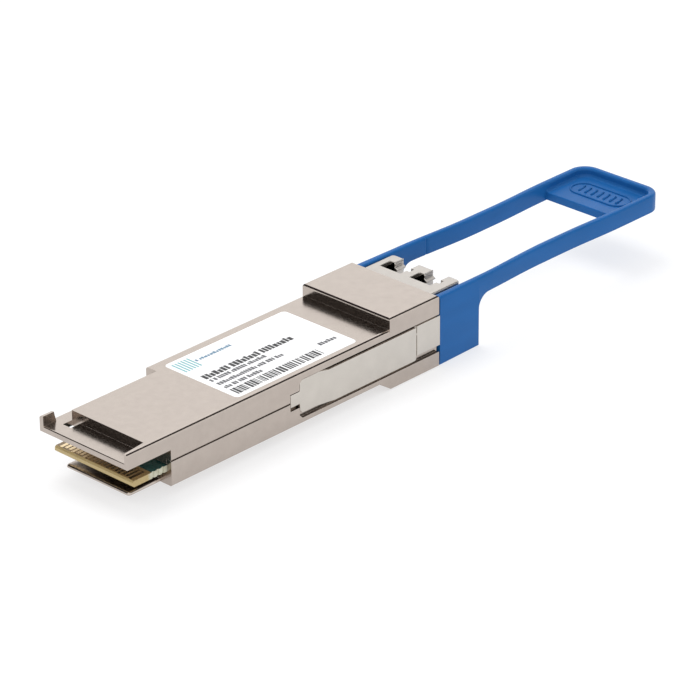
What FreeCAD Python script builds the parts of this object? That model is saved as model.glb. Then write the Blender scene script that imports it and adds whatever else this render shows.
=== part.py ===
"""Pluggable optical transceiver module with a duplex fibre port and a moulded pull tab.

Frame: the origin is the middle of the host end, on the underside of the body.  +X runs from the
host end towards the fibre ports and the pull tab, +Y is the receive side and +Z is up.  All sizes
are millimetres and live in the "Sizes" sheet.
"""
import FreeCAD, Part
import os
import Sketcher
from FreeCAD import Rotation, Vector

DOCUMENT = FreeCAD.newDocument("transceiver")

DIMENSIONS = {
    # Die-cast body: the envelope that the host's cage receives.
    "body_width": 18.35,
    "body_top": 8.5,
    "body_length": 65.72,
    "parting_level": 4.19,
    "roof_thickness": 1.0,
    "floor_thickness": 1.0,
    "edge_round": 0.5,
    "lower_chamfer": 0.2,
    "seam_chamfer": 0.2,
    "fit_gap": 0.05,
    "close_gap": 0.02,
    # Hidden overlaps that merge two features into one solid.
    "merge": 0.5,
    "thin_merge": 0.1,
    # Host end: hood, tray and the wall behind the edge connector.
    "hood_under": 5.95,
    "hood_deck": 6.85,
    "plateau_start": 4.26,
    "rail_inner": 8.15,
    "rail_tip_inner": 8.62,
    "ear_length": 2.55,
    "ear_tip_length": 2.15,
    "ear_inner": 8.4,
    "key_edge": 6.89,
    "key_end": 21.3,
    "key_cavity_edge": 6.1,
    "deck_round": 0.25,
    "drain_start": 2.45,
    "drain_side": 5.2,
    "tray_start": 2.4,
    "tray_half": 6.7,
    "tray_thickness": 0.5,
    "tray_corner": 0.5,
    "tray_rim": 0.45,
    "wall_start": 8.6,
    "wall_thickness": 0.8,
    # Inside of the shells.
    "bay_half": 8.3,
    "bay_end": 31.0,
    "slim_bay_half": 7.4,
    "ledge_width": 0.8,
    "board_bay_end": 43.6,
    "head_bay_start": 56.0,
    "head_bay_half": 8.35,
    "head_ceiling": 9.95,
    "rim_start": 65.0,
    # Head and foot around the fibre ports.
    "head_start": 54.65,
    "head_top": 10.48,
    "foot_start": 54.8,
    "foot_ramp": 2.2,
    "foot_depth": 1.45,
    # Latch recess in both flanks.
    "recess_start": 35.05,
    "recess_floor": 8.62,
    "recess_low": 0.9,
    "recess_high": 7.28,
    "recess_corner": 0.6,
    "tongue_well_start": 33.1,
    "tongue_well_low": 2.8,
    "tongue_well_high": 5.6,
    "tongue_well_floor": 8.45,
    # Sheet-metal latch slider.
    "sheet": 0.35,
    "strip_outer": 9.15,
    "strip_start": 35.15,
    "strip_end": 60.6,
    "strip_flare": 4.2,
    "strip_taper": 2.0,
    "strip_nose_low": 1.77,
    "strip_nose_high": 7.22,
    "strip_belly_start": 3.2,
    "strip_belly_end": 7.6,
    "strip_low": 1.27,
    "strip_high": 6.8,
    "strip_corner": 0.5,
    "tongue_start": 33.2,
    "tongue_low": 3.4,
    "tongue_high": 5.45,
    "neck_outer": 9.03,
    "neck_start": 60.9,
    "neck_low": 1.9,
    "neck_high": 6.9,
    "jog_start": 65.8,
    "jog_thickness": 0.3,
    "tail_end": 71.0,
    "tail_outer": 8.5,
    "tail_low": 2.3,
    "tail_high": 6.7,
    "yoke_start": 57.0,
    "yoke_end": 60.8,
    "yoke_outer": 8.3,
    "yoke_top": 9.8,
    "web_low": 5.5,
    "seat_inner": 6.7,
    "seat_low": 6.6,
    "seat_high": 8.0,
    "web_slot_start": 56.8,
    "web_slot_end": 64.2,
    "web_slot_low": 5.3,
    "web_slot_high": 6.05,
    # Return springs.
    "spring_side": 7.3,
    "spring_level": 7.3,
    "spring_radius": 0.45,
    "spring_wire": 0.1,
    "spring_turns": 9.0,
    "spring_seat": 64.2,
    # Moulded pull tab.
    "tab_start": 66.2,
    "tab_block_end": 75.35,
    "tab_end": 120.45,
    "tab_top": 9.9,
    "tab_arm_low": 6.85,
    "tab_block_low": 1.65,
    "tab_block_half": 8.95,
    "tab_shoulder_half": 8.75,
    "tab_waist_half": 8.18,
    "tab_waist_start": 90.5,
    "tab_waist_end": 98.0,
    "tab_grip_half": 8.52,
    "tab_grip_start": 108.0,
    "tab_wall": 1.2,
    "tab_step": 81.4,
    "tab_step_depth": 0.12,
    "tab_block_wall": 1.35,
    "tab_corner": 3.1,
    "tab_inner_corner": 2.1,
    "tab_underarm": 2.4,
    "tab_round": 0.42,
    "web_start": 109.7,
    "web_under": 7.0,
    "web_top": 8.4,
    "grip_ring_start": 112.6,
    "grip_ring_end": 116.9,
    "grip_ring_half": 5.7,
    "grip_ring_line": 0.35,
    "grip_relief": 0.22,
    "grip_rib": 0.45,
    "grip_rib_pitch": 1.3,
    "grip_rib_half_length": 1.05,
    # Duplex fibre receptacle.
    "nose_start": 64.6,
    "nose_end": 72.9,
    "nose_half": 7.1,
    "nose_top": 9.9,
    "nose_bottom": 0.9,
    "nose_corner": 0.7,
    "nose_body_start": 61.3,
    "nose_body_half": 6.5,
    "nose_body_top": 8.7,
    "flange_half": 8.1,
    "flange_low": 1.7,
    "port_pitch": 6.25,
    "port_axis": 4.25,
    "port_opening": 4.6,
    "port_back": 62.6,
    "port_lead_in": 0.2,
    "latch_slot_start": 68.4,
    "latch_slot_half": 1.68,
    "latch_window_end": 70.7,
    "latch_window_reach": 2.6,
    "latch_notch_start": 69.85,
    "latch_notch_end": 70.8,
    "latch_notch_reach": 2.3,
    "latch_channel_start": 66.3,
    "latch_channel_top": 8.3,
    "latch_ramp": 1.3,
    "nose_round": 0.35,
    "guide_end": 72.7,
    "guide_top": 9.8,
    "guide_lip": 0.25,
    "guide_lip_level": 9.6,
    "guide_waist_level": 9.1,
    "guide_ledge": 0.75,
    "guide_ledge_level": 8.7,
    "guide_foot_level": 8.1,
    # Optical subassemblies.
    "barrel_start": 57.2,
    "barrel_end": 68.6,
    "barrel_radius": 1.45,
    "barrel_neck_radius": 2.0,
    "barrel_neck_end": 58.4,
    "barrel_flange_radius": 2.2,
    "barrel_flange_start": 60.4,
    "barrel_flange_end": 61.2,
    "barrel_hole_radius": 1.5,
    "sleeve_start": 62.6,
    "sleeve_radius": 0.82,
    "sleeve_slit": 0.2,
    "ferrule_bore": 0.63,
    "stub_start": 57.6,
    "stub_radius": 0.82,
    "mouth_radius": 0.68,
    "mouth_flare": 0.35,
    "package_start": 45.6,
    "package_end": 55.6,
    "package_half": 2.85,
    "package_low": 1.2,
    "package_top": 6.9,
    "package_snout_radius": 2.3,
    "lid_step": 0.35,
    "lid_height": 0.4,
    "feedthrough_length": 0.6,
    "feedthrough_half": 2.2,
    "feedthrough_low": 2.7,
    "feedthrough_top": 4.3,
    # Clamp that holds both barrels down on the floor.
    "clamp_start": 58.5,
    "clamp_end": 60.3,
    "clamp_half": 5.6,
    "clamp_top": 6.3,
    # Circuit board with its edge connector.
    "board_start": 1.83,
    "board_end": 43.5,
    "board_half": 8.21,
    "board_slim_start": 30.5,
    "board_slim_half": 7.15,
    "board_low": 2.15,
    "board_thickness": 1.0,
    "board_bevel": 0.25,
    "contact_pitch": 0.8,
    "contact_width": 0.54,
    "contact_thickness": 0.04,
    "contact_end": 5.0,
    "contact_long_setback": 0.3,
    "contact_short_setback": 0.55,
    "edge_notch_start": 5.9,
    "edge_notch_pitch": 0.95,
    "edge_notch_radius": 0.2,
    # Components on the board.
    "retimer_start": 17.0,
    "retimer_size": 10.0,
    "retimer_substrate": 0.5,
    "retimer_mould_margin": 0.6,
    "retimer_height": 1.4,
    "pedestal_low": 5.3,
    "pedestal_margin": 0.5,
    "controller_start": 11.0,
    "controller_side": 1.6,
    "controller_size": 4.0,
    "controller_height": 0.85,
    "oscillator_start": 11.3,
    "oscillator_side": 6.2,
    "oscillator_length": 2.5,
    "oscillator_width": 2.0,
    "oscillator_height": 0.8,
    "driver_start": 34.8,
    "driver_size": 4.2,
    "driver_height": 0.8,
    "inductor_start": 31.2,
    "inductor_length": 2.4,
    "inductor_width": 2.0,
    "inductor_height": 1.5,
    "inductor_pitch": 2.8,
    "capacitor_length": 1.0,
    "capacitor_width": 0.5,
    "capacitor_height": 0.5,
    "capacitor_pitch": 1.25,
    "capacitor_row_start": 15.4,
    "capacitor_row_gap": 0.8,
    "flex_thickness": 0.12,
    "flex_start": 40.2,
    "flex_half": 1.9,
    "flex_setback": 1.2,
    # Screws.
    "screw_radius": 0.8,
    "screw_hole": 0.85,
    "screw_head_radius": 1.25,
    "screw_head_height": 0.45,
    "counterbore_radius": 1.35,
    "counterbore_depth": 0.6,
    "thread_runout": 0.3,
    "hex_half": 0.42,
    "hex_depth": 0.3,
    "boss_radius": 1.2,
    "boss_joint": 3.4,
    "screw_tip": 6.4,
    "front_screw_x": 29.0,
    "front_screw_y": 6.9,
    "rear_screw_x": 44.55,
    "rear_screw_y": 6.2,
    "rear_boss_radius": 1.0,
    "board_notch_radius": 1.45,
    "clamp_screw_tip": 4.3,
    # Seals, pads and label.
    "bead_width": 0.4,
    "bead_depth": 0.25,
    "bead_start": 10.0,
    "bead_end": 32.0,
    "bead_side": 8.55,
    "seal_half": 7.9,
    "seal_top": 8.6,
    "pad_inset": 0.8,
    "label_start": 23.2,
    "label_end": 48.75,
    "label_near": 8.1,
    "label_far": 7.4,
    "label_corner": 0.8,
    "label_thickness": 0.06,
}

CONTACTS_PER_SIDE = 19
EDGE_NOTCHES = 3
GROUND_EVERY = 3
GRIP_RIBS = 7
SLACK = 0.01
CAPACITORS_PER_ROW = 8
INDUCTORS = 4


class Length:
    """A length that carries both its number and the sheet formula it comes from."""

    def __init__(self, value, formula):
        self.value = value
        self.formula = formula

    def _join(self, other, sign, value):
        return Length(value, "(%s %s %s)" % (self.formula, sign, as_length(other).formula))

    def __add__(self, other):
        return self._join(other, "+", self.value + as_length(other).value)

    def __sub__(self, other):
        return self._join(other, "-", self.value - as_length(other).value)

    def __mul__(self, factor):
        return self._join(factor, "*", self.value * as_length(factor).value)

    def __truediv__(self, divisor):
        return self._join(divisor, "/", self.value / as_length(divisor).value)

    def __radd__(self, other):
        return as_length(other) + self

    def __rsub__(self, other):
        return as_length(other) - self

    def __neg__(self):
        return Length(-self.value, "(0 - %s)" % self.formula)


def as_length(value):
    """Let plain numbers take part in sums with lengths from the sheet."""
    if isinstance(value, Length):
        return value
    return Length(float(value), "%.6g" % value)


class SizeSheet:
    """The spreadsheet of driving dimensions; size.NAME gives the named cell as a Length."""

    def __init__(self, document, dimensions):
        self._values = dimensions
        sheet = document.addObject("Spreadsheet::Sheet", "Sizes")
        for row, (name, value) in enumerate(dimensions.items(), start=1):
            sheet.set("A%d" % row, name)
            sheet.set("B%d" % row, "%g" % value)
            sheet.setAlias("B%d" % row, name)

    def __getattr__(self, name):
        return Length(self._values[name], "Sizes.%s" % name)


size = SizeSheet(DOCUMENT, DIMENSIONS)
DOCUMENT.recompute()

HALF_WIDTH = size.body_width / 2
CEILING = size.body_top - size.roof_thickness
BOARD_TOP = size.board_low + size.board_thickness
PORT_SIDES = {"tx": -1, "rx": 1}


def bind(target, prop, length):
    """Tie one property to the sheet."""
    target.setExpression(prop, as_length(length).formula)


def name_node(target, label):
    """Mark an object as a finished sub-part; its label is its node name."""
    target.Label = label
    NODES.append(target)
    return target


NODES = []


# ---------------------------------------------------------------- part design helpers

def new_body(label):
    body = DOCUMENT.addObject("PartDesign::Body", label)
    return name_node(body, label)


def origin_plane(body, plane):
    for feature in body.Origin.OriginFeatures:
        if feature.Role == plane + "_Plane":
            return feature
    raise ValueError("no origin plane " + plane)


def new_sketch(body, name, plane, station):
    """A sketch on one of the body's own origin planes, moved along the plane's normal."""
    sketch = body.newObject("Sketcher::SketchObject", name + "_sketch")
    sketch.AttachmentSupport = (origin_plane(body, plane), [""])
    sketch.MapMode = "FlatFace"
    bind(sketch, "AttachmentOffset.Base.z", station)
    return sketch


def pin_point(sketch, geometry, vertex, u, v):
    """Fix one sketch point at sheet-driven coordinates."""
    for kind, axis, coordinate in (("DistanceX", -2, u), ("DistanceY", -1, v)):
        coordinate = as_length(coordinate)
        if abs(coordinate.value) < 1e-9:
            sketch.addConstraint(Sketcher.Constraint("PointOnObject", geometry, vertex, axis))
            continue
        rule = Sketcher.Constraint(kind, -1, 1, geometry, vertex, coordinate.value)
        number = sketch.addConstraint(rule)
        sketch.setExpression("Constraints[%d]" % number, coordinate.formula)


def draw_polygon(sketch, points):
    """A closed outline of straight lines through the given points."""
    points = [(as_length(u), as_length(v)) for u, v in points]
    first = sketch.GeometryCount
    count = len(points)
    for number, (u, v) in enumerate(points):
        next_u, next_v = points[(number + 1) % count]
        start = Vector(u.value, v.value, 0)
        end = Vector(next_u.value, next_v.value, 0)
        sketch.addGeometry(Part.LineSegment(start, end), False)
    for number in range(count):
        following = first + (number + 1) % count
        sketch.addConstraint(Sketcher.Constraint("Coincident", first + number, 2, following, 1))
    for number, (u, v) in enumerate(points):
        pin_point(sketch, first + number, 1, u, v)


def draw_circle(sketch, u, v, radius):
    u, v, radius = as_length(u), as_length(v), as_length(radius)
    circle = Part.Circle(Vector(u.value, v.value, 0), Vector(0, 0, 1), radius.value)
    number = sketch.addGeometry(circle, False)
    pin_point(sketch, number, 3, u, v)
    rule = sketch.addConstraint(Sketcher.Constraint("Radius", number, radius.value))
    sketch.setExpression("Constraints[%d]" % rule, radius.formula)


def rectangle(u_low, u_high, v_low, v_high):
    return [(u_low, v_low), (u_high, v_low), (u_high, v_high), (u_low, v_high)]


def prism(body, name, plane, low, high, outlines=(), circles=(), cut=False):
    """Add or cut the prism of some outlines between two stations along the plane's axis.

    The XZ plane's normal points along -Y, so its sketch sits at the high station.
    """
    station = -as_length(high) if plane == "XZ" else low
    sketch = new_sketch(body, name, plane, station)
    for outline in outlines:
        draw_polygon(sketch, outline)
    for circle in circles:
        draw_circle(sketch, *circle)
    kind = "PartDesign::Pocket" if cut else "PartDesign::Pad"
    feature = body.newObject(kind, name)
    feature.Profile = sketch
    feature.Reversed = cut
    bind(feature, "Length", as_length(high) - low)
    body.Tip = feature
    return feature


def cut_prism(body, name, plane, low, high, outlines=(), circles=()):
    """Cut a prism and make sure that it really removed material."""
    DOCUMENT.recompute()
    before = body.Shape.Volume
    feature = prism(body, name, plane, low, high, outlines, circles, cut=True)
    DOCUMENT.recompute()
    if not body.Shape.Volume < before - 1e-6:
        raise RuntimeError(name + " cuts nothing")
    return feature


def block(body, name, x, y, z, cut=False):
    """Add or cut a plain rectangular block given by its three (low, high) ranges."""
    action = cut_prism if cut else prism
    return action(body, name, "XY", z[0], z[1], [rectangle(x[0], x[1], y[0], y[1])])


def mirror_across_middle(body, name, features):
    """Repeat features on the other side of the XZ plane."""
    mirror = body.newObject("PartDesign::Mirrored", name)
    mirror.Originals = features
    mirror.MirrorPlane = (origin_plane(body, "XZ"), [""])
    body.Tip = mirror
    DOCUMENT.recompute()
    return mirror


def dress_edges(body, kind, name, amount, wanted):
    """Fillet or chamfer the edges of the body that the test picks."""
    DOCUMENT.recompute()
    base = body.Tip
    chosen = []
    for number, edge in enumerate(base.Shape.Edges, start=1):
        if wanted(edge):
            chosen.append("Edge%d" % number)
    if not chosen:
        raise RuntimeError(name + " finds no edge")
    feature = body.newObject("PartDesign::" + kind, name)
    feature.Base = (base, chosen)
    bind(feature, "Radius" if kind == "Fillet" else "Size", amount)
    body.Tip = feature
    DOCUMENT.recompute()
    return feature


def near(value, target, slack=SLACK):
    return abs(value - as_length(target).value) < slack


def is_along(edge, axis):
    """True for a straight edge parallel to the axis (0, 1 or 2)."""
    if edge.Curve.TypeId != "Part::GeomLine":
        return False
    spread = [edge.BoundBox.XLength, edge.BoundBox.YLength, edge.BoundBox.ZLength]
    return all(spread[other] < 1e-4 for other in range(3) if other != axis)


# ---------------------------------------------------------------- primitive helpers

def part_box(name, x, y, z):
    """A Part box given by its three (low, high) ranges."""
    box = DOCUMENT.addObject("Part::Box", name)
    for prop, (low, high) in (("Length", x), ("Width", y), ("Height", z)):
        bind(box, prop, as_length(high) - low)
    for axis, (low, high) in (("x", x), ("y", y), ("z", z)):
        bind(box, "Placement.Base." + axis, low)
    return box


def part_rod(name, radius, x, side, level):
    """A Part cylinder lying along +X between two stations."""
    rod = DOCUMENT.addObject("Part::Cylinder", name)
    rod.Placement.Rotation = Rotation(Vector(0, 1, 0), 90)
    bind(rod, "Radius", radius)
    bind(rod, "Height", as_length(x[1]) - x[0])
    bind(rod, "Placement.Base.x", x[0])
    bind(rod, "Placement.Base.y", side)
    bind(rod, "Placement.Base.z", level)
    return rod


def part_post(name, radius, x, y, z):
    """A Part cylinder standing along +Z between two levels."""
    post = DOCUMENT.addObject("Part::Cylinder", name)
    bind(post, "Radius", radius)
    bind(post, "Height", as_length(z[1]) - z[0])
    bind(post, "Placement.Base.x", x)
    bind(post, "Placement.Base.y", y)
    bind(post, "Placement.Base.z", z[0])
    return post


def part_union(name, pieces):
    union = DOCUMENT.addObject("Part::MultiFuse", name)
    union.Shapes = pieces
    return union


def part_cut(name, base, tool):
    cut = DOCUMENT.addObject("Part::Cut", name)
    cut.Base = base
    cut.Tool = tool
    return cut


def part_group(label, pieces):
    """Identical separate solids that share one node."""
    group = DOCUMENT.addObject("Part::Compound", label)
    group.Links = pieces
    return name_node(group, label)


# ---------------------------------------------------------------- shells

def latch_recess_outline():
    """Side view of the recess that the latch slider's strip runs in, open at the back."""
    corner = size.recess_corner
    start, low, high = size.recess_start, size.recess_low, size.recess_high
    back = size.body_length + 1
    return [
        (start + corner, low),
        (back, low),
        (back, high),
        (start + corner, high),
        (start, high - corner),
        (start, low + corner),
    ]


def cut_latch_recess(body, low, high):
    """Open one flank for the strip and its tongue; the other flank is its mirror."""
    outer = HALF_WIDTH + 1
    strip = cut_prism(body, "strip_recess", "XZ", size.recess_floor, outer, [latch_recess_outline()])
    well = rectangle(size.tongue_well_start, size.recess_start + size.recess_corner,
                     size.tongue_well_low, size.tongue_well_high)
    tongue = cut_prism(body, "tongue_well", "XZ", size.tongue_well_floor, outer, [well])
    return [strip, tongue]


def screw_places():
    """Housing screws: a pair behind the board's middle and a pair behind the board."""
    return [
        (size.front_screw_x, size.front_screw_y, size.boss_radius),
        (size.front_screw_x, -size.front_screw_y, size.boss_radius),
        (size.rear_screw_x, size.rear_screw_y, size.rear_boss_radius),
        (size.rear_screw_x, -size.rear_screw_y, size.rear_boss_radius),
    ]


def make_top_shell():
    body = new_body("top_shell")
    full = (-HALF_WIDTH, HALF_WIDTH)
    block(body, "upper_block", (size.wall_start, size.body_length), full,
          (size.parting_level, size.body_top))
    block(body, "hood", (0, size.wall_start), full, (size.hood_under, size.body_top))
    block(body, "head", (size.head_start, size.body_length), full, (size.body_top, size.head_top))

    inner_start = size.wall_start + size.wall_thickness
    above = size.head_top + 1
    bay_floor = size.parting_level
    block(body, "board_bay", (inner_start, size.bay_end), (-size.bay_half, size.key_cavity_edge),
          (bay_floor, CEILING), cut=True)
    block(body, "key_side_bay", (inner_start, size.bay_end), (size.key_cavity_edge, size.bay_half),
          (bay_floor, size.hood_under), cut=True)
    block(body, "slim_bay", (size.bay_end, size.head_bay_start),
          (-size.slim_bay_half, size.slim_bay_half), (bay_floor, CEILING), cut=True)
    block(body, "head_bay", (size.head_bay_start, size.rim_start),
          (-size.head_bay_half, size.head_bay_half), (bay_floor, size.head_ceiling), cut=True)
    opening = size.nose_half + size.fit_gap
    block(body, "nose_opening", (size.rim_start, size.body_length), (-opening, opening),
          (bay_floor, size.head_ceiling), cut=True)

    recess = [
        (0, -size.rail_tip_inner),
        (size.plateau_start, -size.rail_inner),
        (size.plateau_start, HALF_WIDTH + 1),
        (size.ear_length, HALF_WIDTH + 1),
        (size.ear_length, size.ear_inner),
        (0, size.ear_inner),
    ]
    cut_prism(body, "front_deck", "XY", size.hood_deck, above, [recess])
    block(body, "key_notch", (size.plateau_start, size.key_end), (size.key_edge, HALF_WIDTH + 1),
          (size.hood_deck, above), cut=True)
    ear_slope = [
        (size.ear_tip_length, above),
        (size.ear_tip_length, size.body_top),
        (size.ear_length, size.hood_deck),
        (size.plateau_start, size.hood_deck),
        (size.plateau_start, above),
    ]
    cut_prism(body, "ear_slope", "XZ", size.ear_inner, HALF_WIDTH + 1, [ear_slope])
    block(body, "drain_slot", (size.drain_start, size.plateau_start),
          (size.drain_side, size.key_edge), (size.hood_under - 1, above), cut=True)

    halves = cut_latch_recess(body, size.parting_level, size.recess_high)
    slot = rectangle(size.web_slot_start, size.web_slot_end, size.web_slot_low, size.web_slot_high)
    halves.append(cut_prism(body, "web_slot", "XZ", size.head_bay_half - size.fit_gap,
                            size.recess_floor + size.fit_gap, [slot]))
    mirror_across_middle(body, "far_flank", halves)

    tongue_half = size.board_half + size.fit_gap / 2
    block(body, "board_clamp_bar", (size.wall_start, inner_start), (-tongue_half, tongue_half),
          (BOARD_TOP + size.fit_gap * 2, size.parting_level))
    margin = size.pedestal_margin
    block(body, "retimer_pedestal",
          (size.retimer_start + margin, size.retimer_start + size.retimer_size - margin),
          (margin - size.retimer_size / 2, size.retimer_size / 2 - margin),
          (size.pedestal_low, CEILING))
    for number, (x, y, radius) in enumerate(screw_places()):
        prism(body, "boss_%d" % number, "XY", size.boss_joint, CEILING, circles=[(x, y, radius)])
        cut_prism(body, "thread_%d" % number, "XY", size.boss_joint,
                  size.screw_tip + size.thread_runout,
                  circles=[(x, y, size.screw_radius + size.close_gap)])

    cut_prism(body, "label_pocket", "XY", size.body_top - size.label_thickness, size.body_top + 1,
              [label_outline()])

    def pocket_corner(edge):
        return is_along(edge, 2) and near(edge.BoundBox.ZMax, size.body_top) \
            and near(edge.BoundBox.ZMin, size.body_top - size.label_thickness)

    dress_edges(body, "Fillet", "label_pocket_corners", size.label_corner, pocket_corner)

    def outer_top_edge(edge):
        box = edge.BoundBox
        on_side = near(abs(box.YMin), HALF_WIDTH) and near(abs(box.YMax), HALF_WIDTH)
        top = near(box.ZMin, size.body_top) or near(box.ZMin, size.head_top)
        across_head = near(box.ZMin, size.head_top) and is_along(edge, 1)
        return (is_along(edge, 0) and on_side and top) or across_head

    dress_edges(body, "Fillet", "top_rounds", size.edge_round, outer_top_edge)

    def deck_front(edge):
        box = edge.BoundBox
        return is_along(edge, 1) and near(box.XMax, 0) and near(box.ZMin, size.hood_deck)

    dress_edges(body, "Fillet", "deck_front_round", size.deck_round, deck_front)
    dress_edges(body, "Chamfer", "seam_chamfers", size.seam_chamfer / 2, seam_edge)
    return body


def seam_edge(edge):
    """The long outer edges where the two shells meet."""
    box = edge.BoundBox
    level = near(box.ZMin, size.parting_level) and near(box.ZMax, size.parting_level)
    return is_along(edge, 0) and level and near(max(abs(box.YMin), abs(box.YMax)), HALF_WIDTH)


def make_bottom_shell():
    body = new_body("bottom_shell")
    full = (-HALF_WIDTH, HALF_WIDTH)
    block(body, "lower_block", (size.wall_start, size.body_length), full, (0, size.parting_level))

    def lower_edge(edge):
        return is_along(edge, 0) and near(edge.BoundBox.ZMax, 0)

    dress_edges(body, "Chamfer", "lower_chamfers", size.lower_chamfer, lower_edge)
    block(body, "front_tray", (size.tray_start, size.wall_start + 1),
          (-size.tray_half, size.tray_half), (0, size.tray_thickness))

    def tray_corner(edge):
        return is_along(edge, 2) and near(edge.BoundBox.XMin, size.tray_start)

    dress_edges(body, "Fillet", "tray_corners", size.tray_corner, tray_corner)

    def tray_rim(edge):
        box = edge.BoundBox
        on_top = near(box.ZMin, size.tray_thickness) and near(box.ZMax, size.tray_thickness)
        return on_top and box.XMin < size.wall_start.value - 1

    dress_edges(body, "Fillet", "tray_rims", size.tray_rim, tray_rim)
    foot = [
        (size.foot_start - size.foot_ramp, 0),
        (size.foot_start - size.foot_ramp, size.lower_chamfer + size.thin_merge),
        (size.body_length, size.lower_chamfer + size.thin_merge),
        (size.body_length, -size.foot_depth),
        (size.foot_start, -size.foot_depth),
    ]
    prism(body, "foot", "XZ", -HALF_WIDTH, HALF_WIDTH, [foot])

    inner_start = size.wall_start + size.wall_thickness
    above = size.parting_level + 1
    ledge = size.ledge_width
    block(body, "board_seat", (size.wall_start, size.bay_end), (-size.bay_half, size.bay_half),
          (size.board_low, above), cut=True)
    block(body, "board_well", (inner_start, size.bay_end),
          (ledge - size.bay_half, size.bay_half - ledge), (size.floor_thickness, above), cut=True)
    block(body, "slim_seat", (size.bay_end, size.board_bay_end),
          (-size.slim_bay_half, size.slim_bay_half), (size.board_low, above), cut=True)
    block(body, "slim_well", (size.bay_end, size.board_bay_end),
          (ledge - size.slim_bay_half, size.slim_bay_half - ledge), (size.floor_thickness, above),
          cut=True)
    block(body, "optics_bay", (size.board_bay_end, size.head_bay_start),
          (-size.slim_bay_half, size.slim_bay_half), (size.floor_thickness, above), cut=True)
    block(body, "head_bay", (size.head_bay_start, size.rim_start),
          (-size.head_bay_half, size.head_bay_half), (size.floor_thickness, above), cut=True)
    opening = size.nose_half + size.fit_gap
    block(body, "nose_bed", (size.nose_body_start - size.fit_gap, size.body_length),
          (-opening, opening), (-size.nose_bottom, above), cut=True)

    mirror_across_middle(body, "far_flank", cut_latch_recess(body, size.recess_low, above))
    bead_top = size.parting_level
    groove = block(body, "bead_groove", (size.bead_start, size.bead_end),
                   (size.bead_side, size.bead_side + size.bead_width),
                   (bead_top - size.bead_depth, above), cut=True)
    mirror_across_middle(body, "far_bead_groove", [groove])
    dress_edges(body, "Chamfer", "seam_chamfers", size.seam_chamfer, seam_edge)

    for number, (x, y, radius) in enumerate(screw_places()):
        prism(body, "boss_%d" % number, "XY", size.floor_thickness - size.merge, size.boss_joint,
              circles=[(x, y, radius)])
        drill_screw_hole(body, "hole_%d" % number, x, y, 0, size.boss_joint)
    drill_screw_hole(body, "clamp_hole", clamp_screw_x(), 0, -size.foot_depth,
                     size.floor_thickness)
    return body


def drill_screw_hole(body, name, x, y, low, high):
    """A clearance hole with a flat counterbore at its lower end."""
    cut_prism(body, name, "XY", low, high, circles=[(x, y, size.screw_hole)])
    cut_prism(body, name + "_counterbore", "XY", low, low + size.counterbore_depth,
              circles=[(x, y, size.counterbore_radius)])


def clamp_screw_x():
    return (size.clamp_start + size.clamp_end) / 2


# ---------------------------------------------------------------- fibre receptacle

def make_receptacle():
    body = new_body("lc_receptacle")
    block(body, "nose", (size.nose_start, size.nose_end), (-size.nose_half, size.nose_half),
          (-size.nose_bottom + size.fit_gap, size.nose_top))

    def rear_corner(edge):
        return is_along(edge, 2) and near(edge.BoundBox.XMin, size.nose_end)

    dress_edges(body, "Fillet", "nose_corners", size.nose_corner, rear_corner)

    def rear_top(edge):
        box = edge.BoundBox
        return near(box.ZMin, size.nose_top) and near(box.XMax, size.nose_end) and is_along(edge, 1)

    dress_edges(body, "Fillet", "nose_end_round", size.nose_round, rear_top)
    block(body, "inner_body", (size.nose_body_start, size.nose_start + size.merge),
          (-size.nose_body_half, size.nose_body_half),
          (-size.nose_bottom + size.fit_gap, size.nose_body_top))
    block(body, "flange", (size.spring_seat, size.nose_start),
          (-size.flange_half, size.flange_half), (size.flange_low, size.nose_body_top))
    for side, sign in PORT_SIDES.items():
        cut_port(body, side, size.port_pitch / 2 * sign)

    port_low = size.port_axis - size.port_opening / 2
    port_high = size.port_axis + size.port_opening / 2

    def mouth_edge(edge):
        return near(edge.BoundBox.XMin, size.nose_end) and near(edge.BoundBox.XMax, size.nose_end) \
            and edge.BoundBox.ZMax < port_high.value + SLACK and edge.BoundBox.ZMin > port_low.value - SLACK

    dress_edges(body, "Chamfer", "port_lead_in", size.port_lead_in, mouth_edge)
    return body


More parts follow.
